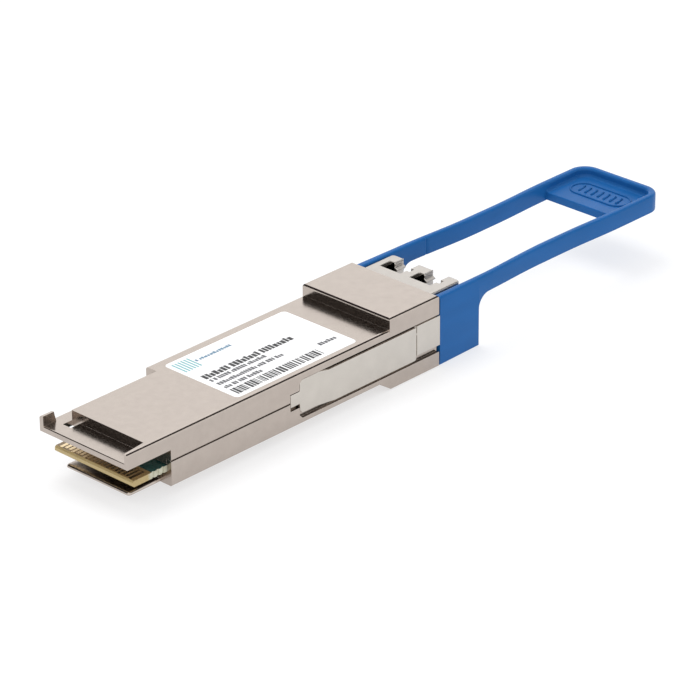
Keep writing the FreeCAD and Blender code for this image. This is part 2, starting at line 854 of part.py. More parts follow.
def cut_port(body, side, centre):
    """One fibre port: plug cavity, barrel hole and the latch opening in the roof."""
    half = size.port_opening / 2
    beyond = size.nose_end + 1
    above = size.nose_top + 1
    block(body, side + "_cavity", (size.port_back, beyond), (centre - half, centre + half),
          (size.port_axis - half, size.port_axis + half), cut=True)
    cut_prism(body, side + "_barrel_hole", "YZ", size.nose_body_start - size.merge,
              size.port_back + size.merge,
              circles=[(centre, size.port_axis, size.barrel_hole_radius)])
    slot = size.latch_slot_half
    block(body, side + "_channel", (size.latch_channel_start, beyond),
          (centre - slot, centre + slot),
          (size.port_axis + half - size.thin_merge, size.latch_channel_top), cut=True)
    ramp = [
        (size.latch_slot_start, size.nose_top),
        (size.latch_slot_start, above),
        (beyond, above),
        (beyond, size.latch_channel_top - size.thin_merge),
        (size.latch_slot_start + size.latch_ramp, size.latch_channel_top - size.thin_merge),
    ]
    cut_prism(body, side + "_lever_slot", "XZ", centre - slot, centre + slot, [ramp])
    window = [
        (size.latch_slot_start, size.nose_top),
        (size.latch_slot_start, above),
        (size.latch_window_end, above),
        (size.latch_window_end, size.latch_channel_top),
        (size.latch_slot_start + size.latch_ramp, size.latch_channel_top),
    ]
    cut_prism(body, side + "_catch_window", "XZ", centre, centre + size.latch_window_reach, [window])
    block(body, side + "_catch_notch", (size.latch_notch_start, size.latch_notch_end),
          (centre - size.latch_notch_reach, centre), (size.latch_channel_top, above), cut=True)
    guide_face = centre + slot
    buried = guide_face + size.thin_merge
    guide = [
        (buried, size.guide_top),
        (guide_face, size.guide_top),
        (guide_face - size.guide_lip, size.guide_lip_level),
        (guide_face, size.guide_waist_level),
        (guide_face - size.guide_ledge, size.guide_ledge_level),
        (guide_face, size.guide_foot_level),
        (buried, size.guide_foot_level),
    ]
    prism(body, side + "_lever_guide", "YZ", size.latch_window_end, size.guide_end, [guide])


# ---------------------------------------------------------------- latch slider and pull tab

def make_slider():
    """One bent sheet: two flank strips joined over the top by a yoke inside the head."""
    body = new_body("latch_slider")
    sheet = size.sheet
    yoke_x = (size.yoke_start, size.yoke_end)
    block(body, "yoke", yoke_x, (-size.yoke_outer, size.yoke_outer), (size.yoke_top - sheet, size.yoke_top))
    leg = block(body, "leg", yoke_x, (size.yoke_outer - sheet, size.yoke_outer),
                (size.web_low, size.yoke_top))
    web = block(body, "web", yoke_x, (size.yoke_outer - sheet, size.strip_outer),
                (size.web_low, size.web_low + sheet))
    seat = block(body, "spring_seat", (size.yoke_start, size.yoke_start + sheet),
                 (size.seat_inner, size.yoke_outer), (size.seat_low, size.seat_high))
    strip = prism(body, "strip", "XZ", size.strip_outer - sheet, size.strip_outer,
                  [strip_outline()])
    tongue = prism(body, "tongue", "XZ", size.strip_outer - sheet, size.strip_outer,
                   [rectangle(size.tongue_start, size.strip_start + size.thin_merge, size.tongue_low,
                              size.tongue_high)])
    link = prism(body, "link", "XZ", size.neck_outer - sheet, size.neck_outer - sheet / 2,
                 [rectangle(size.strip_end - size.thin_merge, size.neck_start + size.thin_merge,
                            size.neck_low, size.neck_high)])
    neck = prism(body, "neck", "XZ", size.neck_outer - sheet, size.neck_outer,
                 [rectangle(size.neck_start, size.jog_start + size.jog_thickness, size.neck_low,
                            size.neck_high)])
    jog = block(body, "jog", (size.jog_start, size.jog_start + size.jog_thickness),
                (size.tail_outer - sheet, size.neck_outer), (size.neck_low, size.neck_high))
    tail = prism(body, "tail", "XZ", size.tail_outer - sheet, size.tail_outer,
                 [rectangle(size.jog_start, size.tail_end, size.tail_low, size.tail_high)])
    mirror_across_middle(body, "far_side", [leg, web, seat, strip, tongue, link, neck, jog, tail])
    return body


def strip_outline():
    """Side view of the strip: a blunt nose, then a lower edge that drops to full depth."""
    corner = size.strip_corner
    start = size.strip_start
    flare = start + size.strip_flare
    return [
        (start, size.strip_nose_high - corner),
        (start + corner, size.strip_nose_high),
        (flare, size.strip_nose_high),
        (flare + size.strip_taper, size.strip_high),
        (size.strip_end, size.strip_high),
        (size.strip_end, size.strip_low + corner / 2),
        (size.strip_end - corner / 2, size.strip_low),
        (start + size.strip_belly_end, size.strip_low),
        (start + size.strip_belly_start, size.strip_nose_low),
        (start + corner, size.strip_nose_low),
        (start, size.strip_nose_low + corner),
    ]


def tab_half_outline():
    """Plan view of the tab's outer edge on the +Y side, from the head to the grip end."""
    return [
        (size.tab_start, size.tab_block_half),
        (size.tab_block_end, size.tab_shoulder_half),
        (size.tab_waist_start, size.tab_waist_half),
        (size.tab_waist_end, size.tab_waist_half),
        (size.tab_grip_start, size.tab_grip_half),
        (size.tab_end, size.tab_grip_half),
    ]


def tab_window_outline():
    """Plan view of the loop's opening on the +Y side, a wall's width inside the outer edge."""
    wall = size.tab_wall
    return [
        (size.tab_start - 1, size.tab_block_half - size.tab_block_wall),
        (size.tab_block_end, size.tab_shoulder_half - wall - size.tab_step_depth),
        (size.tab_step, size.tab_shoulder_half - wall - size.tab_step_depth * 3),
        (size.tab_step, size.tab_shoulder_half - wall - size.tab_step_depth * 2),
        (size.tab_waist_start, size.tab_waist_half - wall),
        (size.tab_waist_end, size.tab_waist_half - wall),
        (size.tab_grip_start, size.tab_grip_half - wall),
        (size.tab_end - wall, size.tab_grip_half - wall),
    ]


def both_sides(half_outline):
    """Close a +Y outline with its mirror image on -Y."""
    return half_outline + [(x, -y) for x, y in reversed(half_outline)]


def make_pull_tab():
    """A moulded loop: two blocks beside the ports, two arms and a recessed grip."""
    body = new_body("pull_tab")
    prism(body, "loop_outside", "XY", -size.tab_block_low, size.tab_top,
          [both_sides(tab_half_outline())])

    def end_corner(edge):
        return is_along(edge, 2) and near(edge.BoundBox.XMin, size.tab_end)

    dress_edges(body, "Fillet", "end_corners", size.tab_corner, end_corner)
    cut_prism(body, "loop_inside", "XY", -size.tab_block_low - 1, size.tab_top + 1,
              [both_sides(tab_window_outline())])

    def inside_corner(edge):
        return is_along(edge, 2) and near(edge.BoundBox.XMin, size.tab_end - size.tab_wall)

    dress_edges(body, "Fillet", "inside_corners", size.tab_inner_corner, inside_corner)
    beyond = size.tab_end + 1
    below = -size.tab_block_low - 1
    cut_prism(body, "under_arms", "XZ", -HALF_WIDTH - 1, HALF_WIDTH + 1,
              [rectangle(size.tab_block_end, beyond, below, size.tab_arm_low)])

    def underarm(edge):
        return is_along(edge, 1) and near(edge.BoundBox.XMin, size.tab_block_end) \
            and near(edge.BoundBox.ZMin, size.tab_arm_low)

    dress_edges(body, "Fillet", "underarms", size.tab_underarm, underarm)

    def top_edge(edge):
        return near(edge.BoundBox.ZMin, size.tab_top) and near(edge.BoundBox.ZMax, size.tab_top) \
            and edge.BoundBox.XMax > size.tab_start.value + size.thin_merge.value \
            and edge.BoundBox.XMin < size.tab_end.value + 1

    dress_edges(body, "Fillet", "top_rounds", size.tab_round, top_edge)
    web_half = size.tab_grip_half - size.tab_wall / 2
    web_end = size.tab_end - size.tab_wall / 2
    corner = size.tab_corner
    web = [
        (size.web_start, -web_half),
        (web_end - corner, -web_half),
        (web_end - corner / 3, -web_half + corner / 3),
        (web_end, -web_half + corner),
        (web_end, web_half - corner),
        (web_end - corner / 3, web_half - corner / 3),
        (web_end - corner, web_half),
        (size.web_start, web_half),
    ]
    prism(body, "grip_web", "XY", size.web_under, size.web_top, [web])
    add_grip_ribs(body)
    slot_outer = size.tail_outer
    pocket = rectangle(size.tab_start - 1, size.tail_end, size.tail_low, size.tail_high)
    slot = cut_prism(body, "tail_slot", "XZ", slot_outer - size.sheet, slot_outer, [pocket])
    mirror_across_middle(body, "far_tail_slot", [slot])
    return body


def add_grip_ribs(body):
    """A raised bar border with short cross ribs inside it, for the thumb."""
    line = size.grip_ring_line
    start, end, half = size.grip_ring_start, size.grip_ring_end, size.grip_ring_half
    level = (size.web_top - size.thin_merge, size.web_top + size.grip_relief)
    corner = (end - start) / 4

    def ring(offset):
        return [
            (start + offset, half - corner),
            (start + offset, corner - half),
            (start + corner, offset - half),
            (end - corner, offset - half),
            (end - offset, corner - half),
            (end - offset, half - corner),
            (end - corner, half - offset),
            (start + corner, half - offset),
        ]

    prism(body, "grip_border", "XY", level[0], level[1], [ring(as_length(0)), ring(line)])
    middle = (start + end) / 2
    first = -(GRIP_RIBS - 1) / 2
    ribs = []
    for number in range(GRIP_RIBS):
        side = size.grip_rib_pitch * (first + number)
        ribs.append(rectangle(middle - size.grip_rib_half_length,
                              middle + size.grip_rib_half_length,
                              side - size.grip_rib / 2, side + size.grip_rib / 2))
    prism(body, "grip_ribs", "XY", level[0], level[1], ribs)


def make_spring(label, sign):
    """A compression spring between the slider's seat and the receptacle's flange."""
    wire = size.spring_wire
    start = size.yoke_start + size.sheet + wire
    reach = size.spring_seat - wire - start
    helix = DOCUMENT.addObject("Part::Helix", label + "_path")
    bind(helix, "Radius", size.spring_radius)
    bind(helix, "Height", reach)
    bind(helix, "Pitch", reach / size.spring_turns)
    helix.Placement.Rotation = Rotation(Vector(0, 1, 0), 90)
    bind(helix, "Placement.Base.x", start)
    bind(helix, "Placement.Base.y", size.spring_side * sign)
    bind(helix, "Placement.Base.z", size.spring_level)
    circle = DOCUMENT.addObject("Part::Circle", label + "_wire")
    circle.Placement.Rotation = Rotation(Vector(0, 1, 0), 90) * Rotation(Vector(1, 0, 0), 90)
    bind(circle, "Radius", wire)
    bind(circle, "Placement.Base.x", start)
    bind(circle, "Placement.Base.y", size.spring_side * sign)
    bind(circle, "Placement.Base.z", size.spring_level - size.spring_radius)
    DOCUMENT.recompute()
    sweep = DOCUMENT.addObject("Part::Sweep", label)
    sweep.Sections = [circle]
    sweep.Spine = (helix, ["Edge1"])
    sweep.Solid = True
    sweep.Frenet = True
    return name_node(sweep, label)


# ---------------------------------------------------------------- optics

def make_barrel(side, centre):
    """Metal barrel that carries the ferrule sleeve into the port."""
    axis = size.port_axis
    outside = part_union(side + "_barrel_outside", [
        part_rod(side + "_barrel_neck", size.barrel_neck_radius,
                 (size.barrel_start, size.barrel_neck_end), centre, axis),
        part_rod(side + "_barrel_tube", size.barrel_radius,
                 (size.barrel_start, size.barrel_end), centre, axis),
        part_rod(side + "_barrel_flange", size.barrel_flange_radius,
                 (size.barrel_flange_start, size.barrel_flange_end), centre, axis),
    ])
    flare = DOCUMENT.addObject("Part::Cone", side + "_barrel_flare")
    flare.Placement.Rotation = Rotation(Vector(0, 1, 0), 90)
    bind(flare, "Radius1", size.mouth_radius)
    bind(flare, "Radius2", size.mouth_radius + size.mouth_flare)
    bind(flare, "Height", size.mouth_flare)
    bind(flare, "Placement.Base.x", sleeve_end())
    bind(flare, "Placement.Base.y", centre)
    bind(flare, "Placement.Base.z", axis)
    inside = part_union(side + "_barrel_inside", [
        part_rod(side + "_barrel_bore", size.sleeve_radius + size.close_gap,
                 (size.stub_start, sleeve_end()), centre, axis),
        flare,
    ])
    barrel = part_cut(side + "_barrel", outside, inside)
    return name_node(barrel, side + "_barrel")


def sleeve_end():
    """The sleeve stops where the mouth starts to open out."""
    return size.barrel_end - size.mouth_flare


def make_sleeve(side, centre):
    """Ceramic split sleeve; its bore is where the plug's ferrule seats."""
    span = (size.sleeve_start, sleeve_end())
    tube = part_cut(side + "_sleeve_tube",
                    part_rod(side + "_sleeve_outside", size.sleeve_radius, span, centre,
                             size.port_axis),
                    part_rod(side + "_sleeve_bore", size.ferrule_bore, span, centre,
                             size.port_axis))
    half_slit = size.sleeve_slit / 2
    slit = part_box(side + "_sleeve_slit", span, (centre - half_slit, centre + half_slit),
                    (size.port_axis - size.sleeve_radius * 2, size.port_axis))
    return name_node(part_cut(side + "_sleeve", tube, slit), side + "_sleeve")


def make_stub(side, centre):
    stub = part_rod(side + "_fibre_stub", size.stub_radius, (size.stub_start, size.sleeve_start),
                    centre, size.port_axis)
    return name_node(stub, side + "_fibre_stub")


def make_package(side, centre, label):
    """Hermetic optics package: box, seam-welded lid, feedthrough and a short snout."""
    half, step = size.package_half, size.lid_step
    lid_low = size.package_top - size.lid_height
    snout_start = size.package_end - size.merge
    package = part_union(label, [
        part_box(label + "_case", (size.package_start, size.package_end),
                 (centre - half, centre + half), (size.package_low, lid_low)),
        part_box(label + "_lid", (size.package_start + step, size.package_end - step),
                 (centre - half + step, centre + half - step), (lid_low, size.package_top)),
        part_box(label + "_feedthrough",
                 (size.package_start - size.feedthrough_length, size.package_start),
                 (centre - size.feedthrough_half, centre + size.feedthrough_half),
                 (size.feedthrough_low, size.feedthrough_top)),
        part_rod(label + "_snout", size.package_snout_radius, (snout_start, size.barrel_start),
                 centre, size.port_axis),
    ])
    return name_node(package, label)


def make_flex(side, centre):
    """Flexible circuit that climbs from the board to the package's feedthrough."""
    body = new_body(side + "_flex")
    low, thick = BOARD_TOP, size.flex_thickness
    climb = size.feedthrough_top - low
    bend_start = size.board_end - size.flex_setback
    bend_end = bend_start + climb
    tip = size.package_start - size.thin_merge
    outline = [
        (size.flex_start, low),
        (bend_start, low),
        (bend_end, low + climb),
        (tip, low + climb),
        (tip, low + climb + thick),
        (bend_end - thick / 2, low + climb + thick),
        (bend_start - thick / 2, low + thick),
        (size.flex_start, low + thick),
    ]
    prism(body, side + "_strip", "XZ", centre - size.flex_half, centre + size.flex_half, [outline])
    return body


def make_clamp():
    """Saddle screwed to the floor that holds both barrels."""
    body = new_body("barrel_clamp")
    span = (size.clamp_start, size.clamp_end)
    block(body, "saddle", span, (-size.clamp_half, size.clamp_half),
          (size.floor_thickness, size.clamp_top))
    radius = size.barrel_radius + size.close_gap
    for side, sign in PORT_SIDES.items():
        centre = size.port_pitch / 2 * sign
        cut_prism(body, side + "_saddle_slot", "YZ", span[0] - 1, span[1] + 1,
                  [rectangle(centre - radius, centre + radius, 0, size.port_axis)])
        cut_prism(body, side + "_saddle_round", "YZ", span[0] - 1, span[1] + 1,
                  circles=[(centre, size.port_axis, radius)])
    cut_prism(body, "thread", "XY", size.floor_thickness - size.merge,
              size.clamp_screw_tip + size.thread_runout,
              circles=[(clamp_screw_x(), 0, size.screw_radius + size.close_gap)])
    return body


# ---------------------------------------------------------------- board and components

def make_board():
    body = new_body("circuit_board")
    outline = both_sides([
        (size.board_start, size.board_half),
        (size.board_slim_start, size.board_half),
        (size.board_slim_start, size.board_slim_half),
        (size.board_end, size.board_slim_half),
    ])
    prism(body, "laminate", "XY", size.board_low, BOARD_TOP, [outline])
    notches = []
    for side in (1, -1):
        notches.append((size.front_screw_x, size.front_screw_y * side, size.board_notch_radius))
        for number in range(EDGE_NOTCHES):
            station = size.edge_notch_start + size.edge_notch_pitch * number
            notches.append((station, size.board_half * side, size.edge_notch_radius))
    cut_prism(body, "notches", "XY", size.board_low - 1, BOARD_TOP + 1, circles=notches)

    def front_edge(edge):
        return is_along(edge, 1) and near(edge.BoundBox.XMin, size.board_start)

    dress_edges(body, "Chamfer", "lead_in", size.board_bevel, front_edge)
    return body


def make_contacts(label, low):
    """One row of gold edge contacts; every third one reaches further forward."""
    contacts = []
    first = -(CONTACTS_PER_SIDE - 1) / 2
    for number in range(CONTACTS_PER_SIDE):
        centre = size.contact_pitch * (first + number)
        is_ground = number % GROUND_EVERY == 0
        setback = size.contact_long_setback if is_ground else size.contact_short_setback
        contacts.append(part_box("%s_%d" % (label, number),
                                 (size.board_start + setback, size.contact_end),
                                 (centre - size.contact_width / 2, centre + size.contact_width / 2),
                                 (low, low + size.contact_thickness)))
    return part_group(label, contacts)


def make_retimer():
    """Signal processor: a laminate substrate with a moulded cap."""
    start, width = size.retimer_start, size.retimer_size
    margin = size.retimer_mould_margin
    substrate_top = BOARD_TOP + size.retimer_substrate
    chip = part_union("retimer_chip", [
        part_box("retimer_substrate", (start, start + width), (-width / 2, width / 2),
                 (BOARD_TOP, substrate_top)),
        part_box("retimer_mould", (start + margin, start + width - margin),
                 (margin - width / 2, width / 2 - margin),
                 (substrate_top, BOARD_TOP + size.retimer_height)),
    ])
    return name_node(chip, "retimer_chip")


def make_square_chip(label, start, side, width, height):
    chip = part_box(label, (start, start + width), (side, side + width),
                    (BOARD_TOP, BOARD_TOP + height))
    return name_node(chip, label)


def make_components():
    make_retimer()
    make_square_chip("controller_chip", size.controller_start, size.controller_side,
                     size.controller_size, size.controller_height)
    driver_side = size.port_pitch / 2 - size.driver_size / 2
    make_square_chip("receive_amplifier_chip", size.driver_start, driver_side, size.driver_size,
                     size.driver_height)
    make_square_chip("laser_driver_chip", size.driver_start, -driver_side - size.driver_size,
                     size.driver_size, size.driver_height)
    oscillator = part_box("oscillator",
                          (size.oscillator_start, size.oscillator_start + size.oscillator_length),
                          (-size.oscillator_side, size.oscillator_width - size.oscillator_side),
                          (BOARD_TOP, BOARD_TOP + size.oscillator_height))
    name_node(oscillator, "oscillator")

    inductors = []
    for number in range(INDUCTORS):
        side = size.inductor_pitch * (number - (INDUCTORS - 1) / 2)
        inductors.append(part_box("power_inductor_%d" % number,
                                  (size.inductor_start,
                                   size.inductor_start + size.inductor_length),
                                  (side - size.inductor_width / 2, side + size.inductor_width / 2),
                                  (BOARD_TOP, BOARD_TOP + size.inductor_height)))
    part_group("power_inductors", inductors)

    capacitors = []
    for sign in (-1, 1):
        row = size.retimer_size / 2 + size.capacitor_row_gap
        for number in range(CAPACITORS_PER_ROW):
            start = size.capacitor_row_start + size.capacitor_pitch * number
            centre = row * sign
            capacitors.append(part_box("capacitor_%d_%d" % (sign + 1, number),
                                       (start, start + size.capacitor_length),
                                       (centre - size.capacitor_width / 2,
                                        centre + size.capacitor_width / 2),
                                       (BOARD_TOP, BOARD_TOP + size.capacitor_height)))
    part_group("capacitors", capacitors)


# ---------------------------------------------------------------- pads, seals, screws, label

def make_thermal_pads():
    margin = size.pedestal_margin
    pad = part_box("retimer_thermal_pad",
                   (size.retimer_start + margin * 2,
                    size.retimer_start + size.retimer_size - margin * 2),
                   (margin * 2 - size.retimer_size / 2, size.retimer_size / 2 - margin * 2),
                   (BOARD_TOP + size.retimer_height, size.pedestal_low))
    name_node(pad, "retimer_thermal_pad")
    for side, sign in PORT_SIDES.items():
        centre = size.port_pitch / 2 * sign
        half = size.package_half - size.pad_inset
        pad = part_box(side + "_thermal_pad",
                       (size.package_start + size.pad_inset, size.head_start),
                       (centre - half, centre + half), (size.package_top, CEILING))
        name_node(pad, side + "_thermal_pad")


def make_seals():
    """Conductive elastomer: beads in the shell joint and strips behind the receptacle flange."""
    beads = []
    strips = []
    for sign, mark in ((-1, "near"), (1, "far")):
        inner = size.bead_side if sign > 0 else -size.bead_side - size.bead_width
        beads.append(part_box("shell_bead_" + mark, (size.bead_start, size.bead_end),
                              (inner, inner + size.bead_width),
                              (size.parting_level - size.bead_depth, size.parting_level)))
        low = size.nose_half + size.fit_gap
        width = size.seal_half - low
        inner = low if sign > 0 else -low - width
        strips.append(part_box("nose_strip_" + mark, (size.nose_start, size.rim_start),
                               (inner, inner + width), (size.flange_low, size.seal_top)))
    part_group("shell_gaskets", beads)
    part_group("nose_gaskets", strips)


def make_screw(name, x, y, low, tip):
    """A low-head cap screw pointing up, with a hex socket."""
    head_low = low + size.counterbore_depth - size.screw_head_height
    head_top = low + size.counterbore_depth
    solid = part_union(name + "_solid", [
        part_post(name + "_head", size.screw_head_radius, x, y, (head_low, head_top)),
        part_post(name + "_shank", size.screw_radius, x, y, (head_low + size.thin_merge, tip)),
    ])
    socket = DOCUMENT.addObject("Part::Prism", name + "_socket")
    socket.Polygon = 6
    bind(socket, "Circumradius", size.hex_half)
    bind(socket, "Height", size.hex_depth)
    bind(socket, "Placement.Base.x", x)
    bind(socket, "Placement.Base.y", y)
    bind(socket, "Placement.Base.z", head_low)
    return part_cut(name, solid, socket)


def make_screws():
    screws = []
    for number, (x, y, _) in enumerate(screw_places()):
        screws.append(make_screw("housing_screw_%d" % number, x, y, as_length(0), size.screw_tip))
    part_group("housing_screws", screws)
    clamp_screw = make_screw("clamp_screw", clamp_screw_x(), as_length(0), -size.foot_depth,
                             size.clamp_screw_tip)
    name_node(clamp_screw, "clamp_screw")


def label_outline():
    return rectangle(size.label_start, size.label_end, -size.label_near, size.label_far)


def make_label():
    """Sticker that lies flush in a shallow pocket of the top shell."""
    body = new_body("label")
    prism(body, "sticker", "XY", size.body_top - size.label_thickness, size.body_top,
          [label_outline()])

    def upright(edge):
        return is_along(edge, 2)

    dress_edges(body, "Fillet", "sticker_corners", size.label_corner, upright)
    return body


# ---------------------------------------------------------------- assembly

def build_all():
    make_top_shell()
    make_bottom_shell()
    make_receptacle()
    make_slider()
    make_pull_tab()
    make_spring("return_spring_tx_side", -1)
    make_spring("return_spring_rx_side", 1)
    for side, sign in PORT_SIDES.items():
        centre = size.port_pitch / 2 * sign
        make_barrel(side, centre)
        make_sleeve(side, centre)
        make_stub(side, centre)
        make_flex(side, centre)
    make_package("tx", size.port_pitch / -2, "transmitter_package")
    make_package("rx", size.port_pitch / 2, "receiver_package")
    make_clamp()
    make_board()
    make_contacts("contacts_top", BOARD_TOP)
    make_contacts("contacts_bottom", size.board_low - size.contact_thickness)
    make_components()
    make_thermal_pads()
    make_seals()
    make_screws()
    make_label()
    DOCUMENT.recompute()


def check_all():
    """Stop on any failed object or bad shape before a file is written."""
    for item in DOCUMENT.Objects:
        if "Invalid" in item.State or "Error" in item.State:
            raise RuntimeError("failed object: " + item.Name)
    for node in NODES:
        if node.Shape.isNull() or not node.Shape.isValid():
            raise RuntimeError("bad shape: " + node.Label)
        if not node.Shape.Solids:
            raise RuntimeError("no solid: " + node.Label)


def export_all():
    os.makedirs("parts", exist_ok=True)
    for node in NODES:
        node.Shape.exportStep(os.path.join("parts", node.Label + ".step"))
        print("%-26s %d solid(s) %9.3f mm3" % (node.Label, len(node.Shape.Solids), node.Shape.Volume))


build_all()
check_all()
export_all()
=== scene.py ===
"""Looks of the optical transceiver module: plated castings, moulded tab, printed label, studio.

Sizes in this script are millimetres in the CAD frame, turned into metres by MM when they are used.
"""
import math
import random

import bpy
from mathutils import Matrix, Vector


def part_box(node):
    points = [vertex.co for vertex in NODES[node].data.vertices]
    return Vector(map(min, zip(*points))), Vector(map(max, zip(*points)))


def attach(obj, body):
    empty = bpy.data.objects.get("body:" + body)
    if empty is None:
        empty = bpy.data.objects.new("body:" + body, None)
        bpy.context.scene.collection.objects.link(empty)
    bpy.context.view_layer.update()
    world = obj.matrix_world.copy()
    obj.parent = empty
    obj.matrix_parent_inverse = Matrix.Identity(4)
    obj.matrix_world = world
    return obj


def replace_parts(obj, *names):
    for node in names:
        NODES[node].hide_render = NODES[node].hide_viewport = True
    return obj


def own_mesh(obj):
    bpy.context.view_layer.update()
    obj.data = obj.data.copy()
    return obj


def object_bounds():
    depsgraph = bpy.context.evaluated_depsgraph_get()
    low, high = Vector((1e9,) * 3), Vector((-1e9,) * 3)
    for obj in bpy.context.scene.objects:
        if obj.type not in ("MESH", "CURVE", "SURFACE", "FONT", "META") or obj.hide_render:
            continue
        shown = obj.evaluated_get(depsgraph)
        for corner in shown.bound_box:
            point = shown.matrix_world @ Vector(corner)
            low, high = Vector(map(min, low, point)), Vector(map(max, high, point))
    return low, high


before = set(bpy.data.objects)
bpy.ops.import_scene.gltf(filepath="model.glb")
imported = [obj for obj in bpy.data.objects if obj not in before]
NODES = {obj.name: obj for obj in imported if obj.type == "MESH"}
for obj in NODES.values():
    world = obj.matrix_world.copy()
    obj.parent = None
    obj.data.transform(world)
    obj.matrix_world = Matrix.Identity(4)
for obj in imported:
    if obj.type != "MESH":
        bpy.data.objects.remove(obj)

CAD_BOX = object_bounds()
MM = 0.001


# ------------------------------------------------------------------ material nodes

# Sockets of a Mix node that mixes colours.
MIX_FACTOR = 0
MIX_FIRST = 6
MIX_SECOND = 7
MIX_RESULT = 2

# Edge mask settings for the lighter edges: a painted highlight together with rubbing wear.
EDGE_MASK_SAMPLES = 4
EDGE_MASK_LEAN = (0.85, 0.99)


def new_material(name):
    material = bpy.data.materials.new(name)
    material.use_nodes = True
    tree = material.node_tree
    return material, tree, tree.nodes["Principled BSDF"]


def add_node(tree, kind, inputs=None, **settings):
    node = tree.nodes.new(kind)
    for key, value in settings.items():
        setattr(node, key, value)
    for key, value in (inputs or {}).items():
        node.inputs[key].default_value = value
    return node


def millimetres(tree, stretch=(1, 1, 1)):
    """Object coordinates in millimetres, stretched per axis."""
    place = add_node(tree, "ShaderNodeTexCoord")
    scale = add_node(tree, "ShaderNodeMapping", {"Scale": [s / MM for s in stretch]})
    tree.links.new(place.outputs["Object"], scale.inputs["Vector"])
    return scale.outputs["Vector"]


def noise(tree, vector, per_mm, detail=3):
    node = add_node(tree, "ShaderNodeTexNoise", {"Scale": per_mm, "Detail": detail})
    tree.links.new(vector, node.inputs["Vector"])
    return node.outputs["Fac"]


def spread(tree, source, low, high, start=0.3, end=0.7):
    """Maps the range start to end of a value onto the range low to high."""
    node = add_node(tree, "ShaderNodeMapRange",
                    {"From Min": start, "From Max": end, "To Min": low, "To Max": high})
    tree.links.new(source, node.inputs["Value"])
    return node.outputs["Result"]


def blend_colours(tree, factor, first, second):
    """Mixes two colours, each one a tuple or the output of another node."""
    node = add_node(tree, "ShaderNodeMix", data_type="RGBA")
    for value, socket in ((first, node.inputs[MIX_FIRST]), (second, node.inputs[MIX_SECOND])):
        if isinstance(value, tuple):
            socket.default_value = (*value, 1)
        else:
            tree.links.new(value, socket)
    tree.links.new(factor, node.inputs[MIX_FACTOR])
    return node.outputs[MIX_RESULT]


def shade(colour, factor):
    return tuple(channel * factor for channel in colour)


def cloudy(tree, source, colour, dark, light):
    """The colour, drifting between a darker and a lighter shade of itself."""
    return blend_colours(tree, spread(tree, source, 0, 1), shade(colour, dark), shade(colour, light))


def bump(tree, shader, height, strength, depth):
    node = add_node(tree, "ShaderNodeBump", {"Strength": strength, "Distance": depth * MM})
    tree.links.new(height, node.inputs["Height"])
    tree.links.new(node.outputs["Normal"], shader.inputs["Normal"])


def edge_wear_and_highlight(tree, radius):
    """0 on flat faces and 1 on edges, from how far a rounded normal leans away; it places a painted
    highlight along with rubbing wear.
    """
    rounded = add_node(tree, "ShaderNodeBevel", {"Radius": radius * MM}, samples=EDGE_MASK_SAMPLES)
    flat = add_node(tree, "ShaderNodeNewGeometry")
    dot = add_node(tree, "ShaderNodeVectorMath", operation="DOT_PRODUCT")
    tree.links.new(rounded.outputs["Normal"], dot.inputs[0])
    tree.links.new(flat.outputs["Normal"], dot.inputs[1])
    return spread(tree, dot.outputs["Value"], 1, 0, *EDGE_MASK_LEAN)


# ------------------------------------------------------------------ kinds of material

def cast_metal(name, colour, grain, roughness):
    """Plated die casting: faint mottling, fine bead-blast grain and lighter edges, a painted highlight
    together with rubbing wear.
    """
    material, tree, shader = new_material(name)
    place = millimetres(tree)
    tone = cloudy(tree, noise(tree, place, per_mm=0.7, detail=5), colour, dark=0.96, light=1.025)
    speck = spread(tree, noise(tree, place, per_mm=3, detail=2), 0, 1, start=0.66, end=0.78)
    tone = blend_colours(tree, speck, tone, shade(colour, 0.92))
    # Painted highlight with rubbing wear: the edges are a little lighter than the casting.
    tone = blend_colours(tree, edge_wear_and_highlight(tree, radius=0.12), tone, shade(colour, 1.08))
    tree.links.new(tone, shader.inputs["Base Color"])
    shader.inputs["Metallic"].default_value = 1.0
    polish = noise(tree, place, per_mm=2.5, detail=4)
    tree.links.new(spread(tree, polish, roughness - 0.02, roughness + 0.03), shader.inputs["Roughness"])
    bump(tree, shader, noise(tree, place, per_mm=6), strength=grain, depth=0.01)
    return material


def sheet_metal(name, colour, roughness, along=(0.3, 9, 9)):
    """Rolled sheet: fine lines along its length and a little variation in polish."""
    material, tree, shader = new_material(name)
    lines = noise(tree, millimetres(tree, along), per_mm=1, detail=4)
    smear = noise(tree, millimetres(tree), per_mm=0.4)
    tone = cloudy(tree, smear, colour, dark=0.97, light=1.03)
    # Painted highlight with rubbing wear: the edges are lighter than the sheet.
    tone = blend_colours(tree, edge_wear_and_highlight(tree, radius=0.1), tone, shade(colour, 1.12))
    tree.links.new(tone, shader.inputs["Base Color"])
    shader.inputs["Metallic"].default_value = 1.0
    tree.links.new(spread(tree, lines, roughness - 0.05, roughness + 0.05), shader.inputs["Roughness"])
    bump(tree, shader, lines, strength=0.08, depth=0.003)
    return material


def moulded_plastic(name, colour, roughness, grain=0.15, gloss=0.3):
    """Satin moulding: spark-eroded fine grain, slight flow variation and polished edges that are painted
    lighter as a highlight.
    """
    material, tree, shader = new_material(name)
    place = millimetres(tree)
    flow = noise(tree, millimetres(tree, (0.3, 1, 1)), per_mm=0.35)
    tone = cloudy(tree, flow, colour, dark=0.95, light=1.05)
    # Painted highlight with polishing wear: the edges are lighter than the moulding.
    tone = blend_colours(tree, edge_wear_and_highlight(tree, radius=0.15), tone, shade(colour, 1.15))
    tree.links.new(tone, shader.inputs["Base Color"])
    polish = noise(tree, place, per_mm=4)
    tree.links.new(spread(tree, polish, roughness - 0.04, roughness + 0.05), shader.inputs["Roughness"])
    shader.inputs["Specular IOR Level"].default_value = gloss
    bump(tree, shader, noise(tree, place, per_mm=8), strength=grain, depth=0.012)
    return material


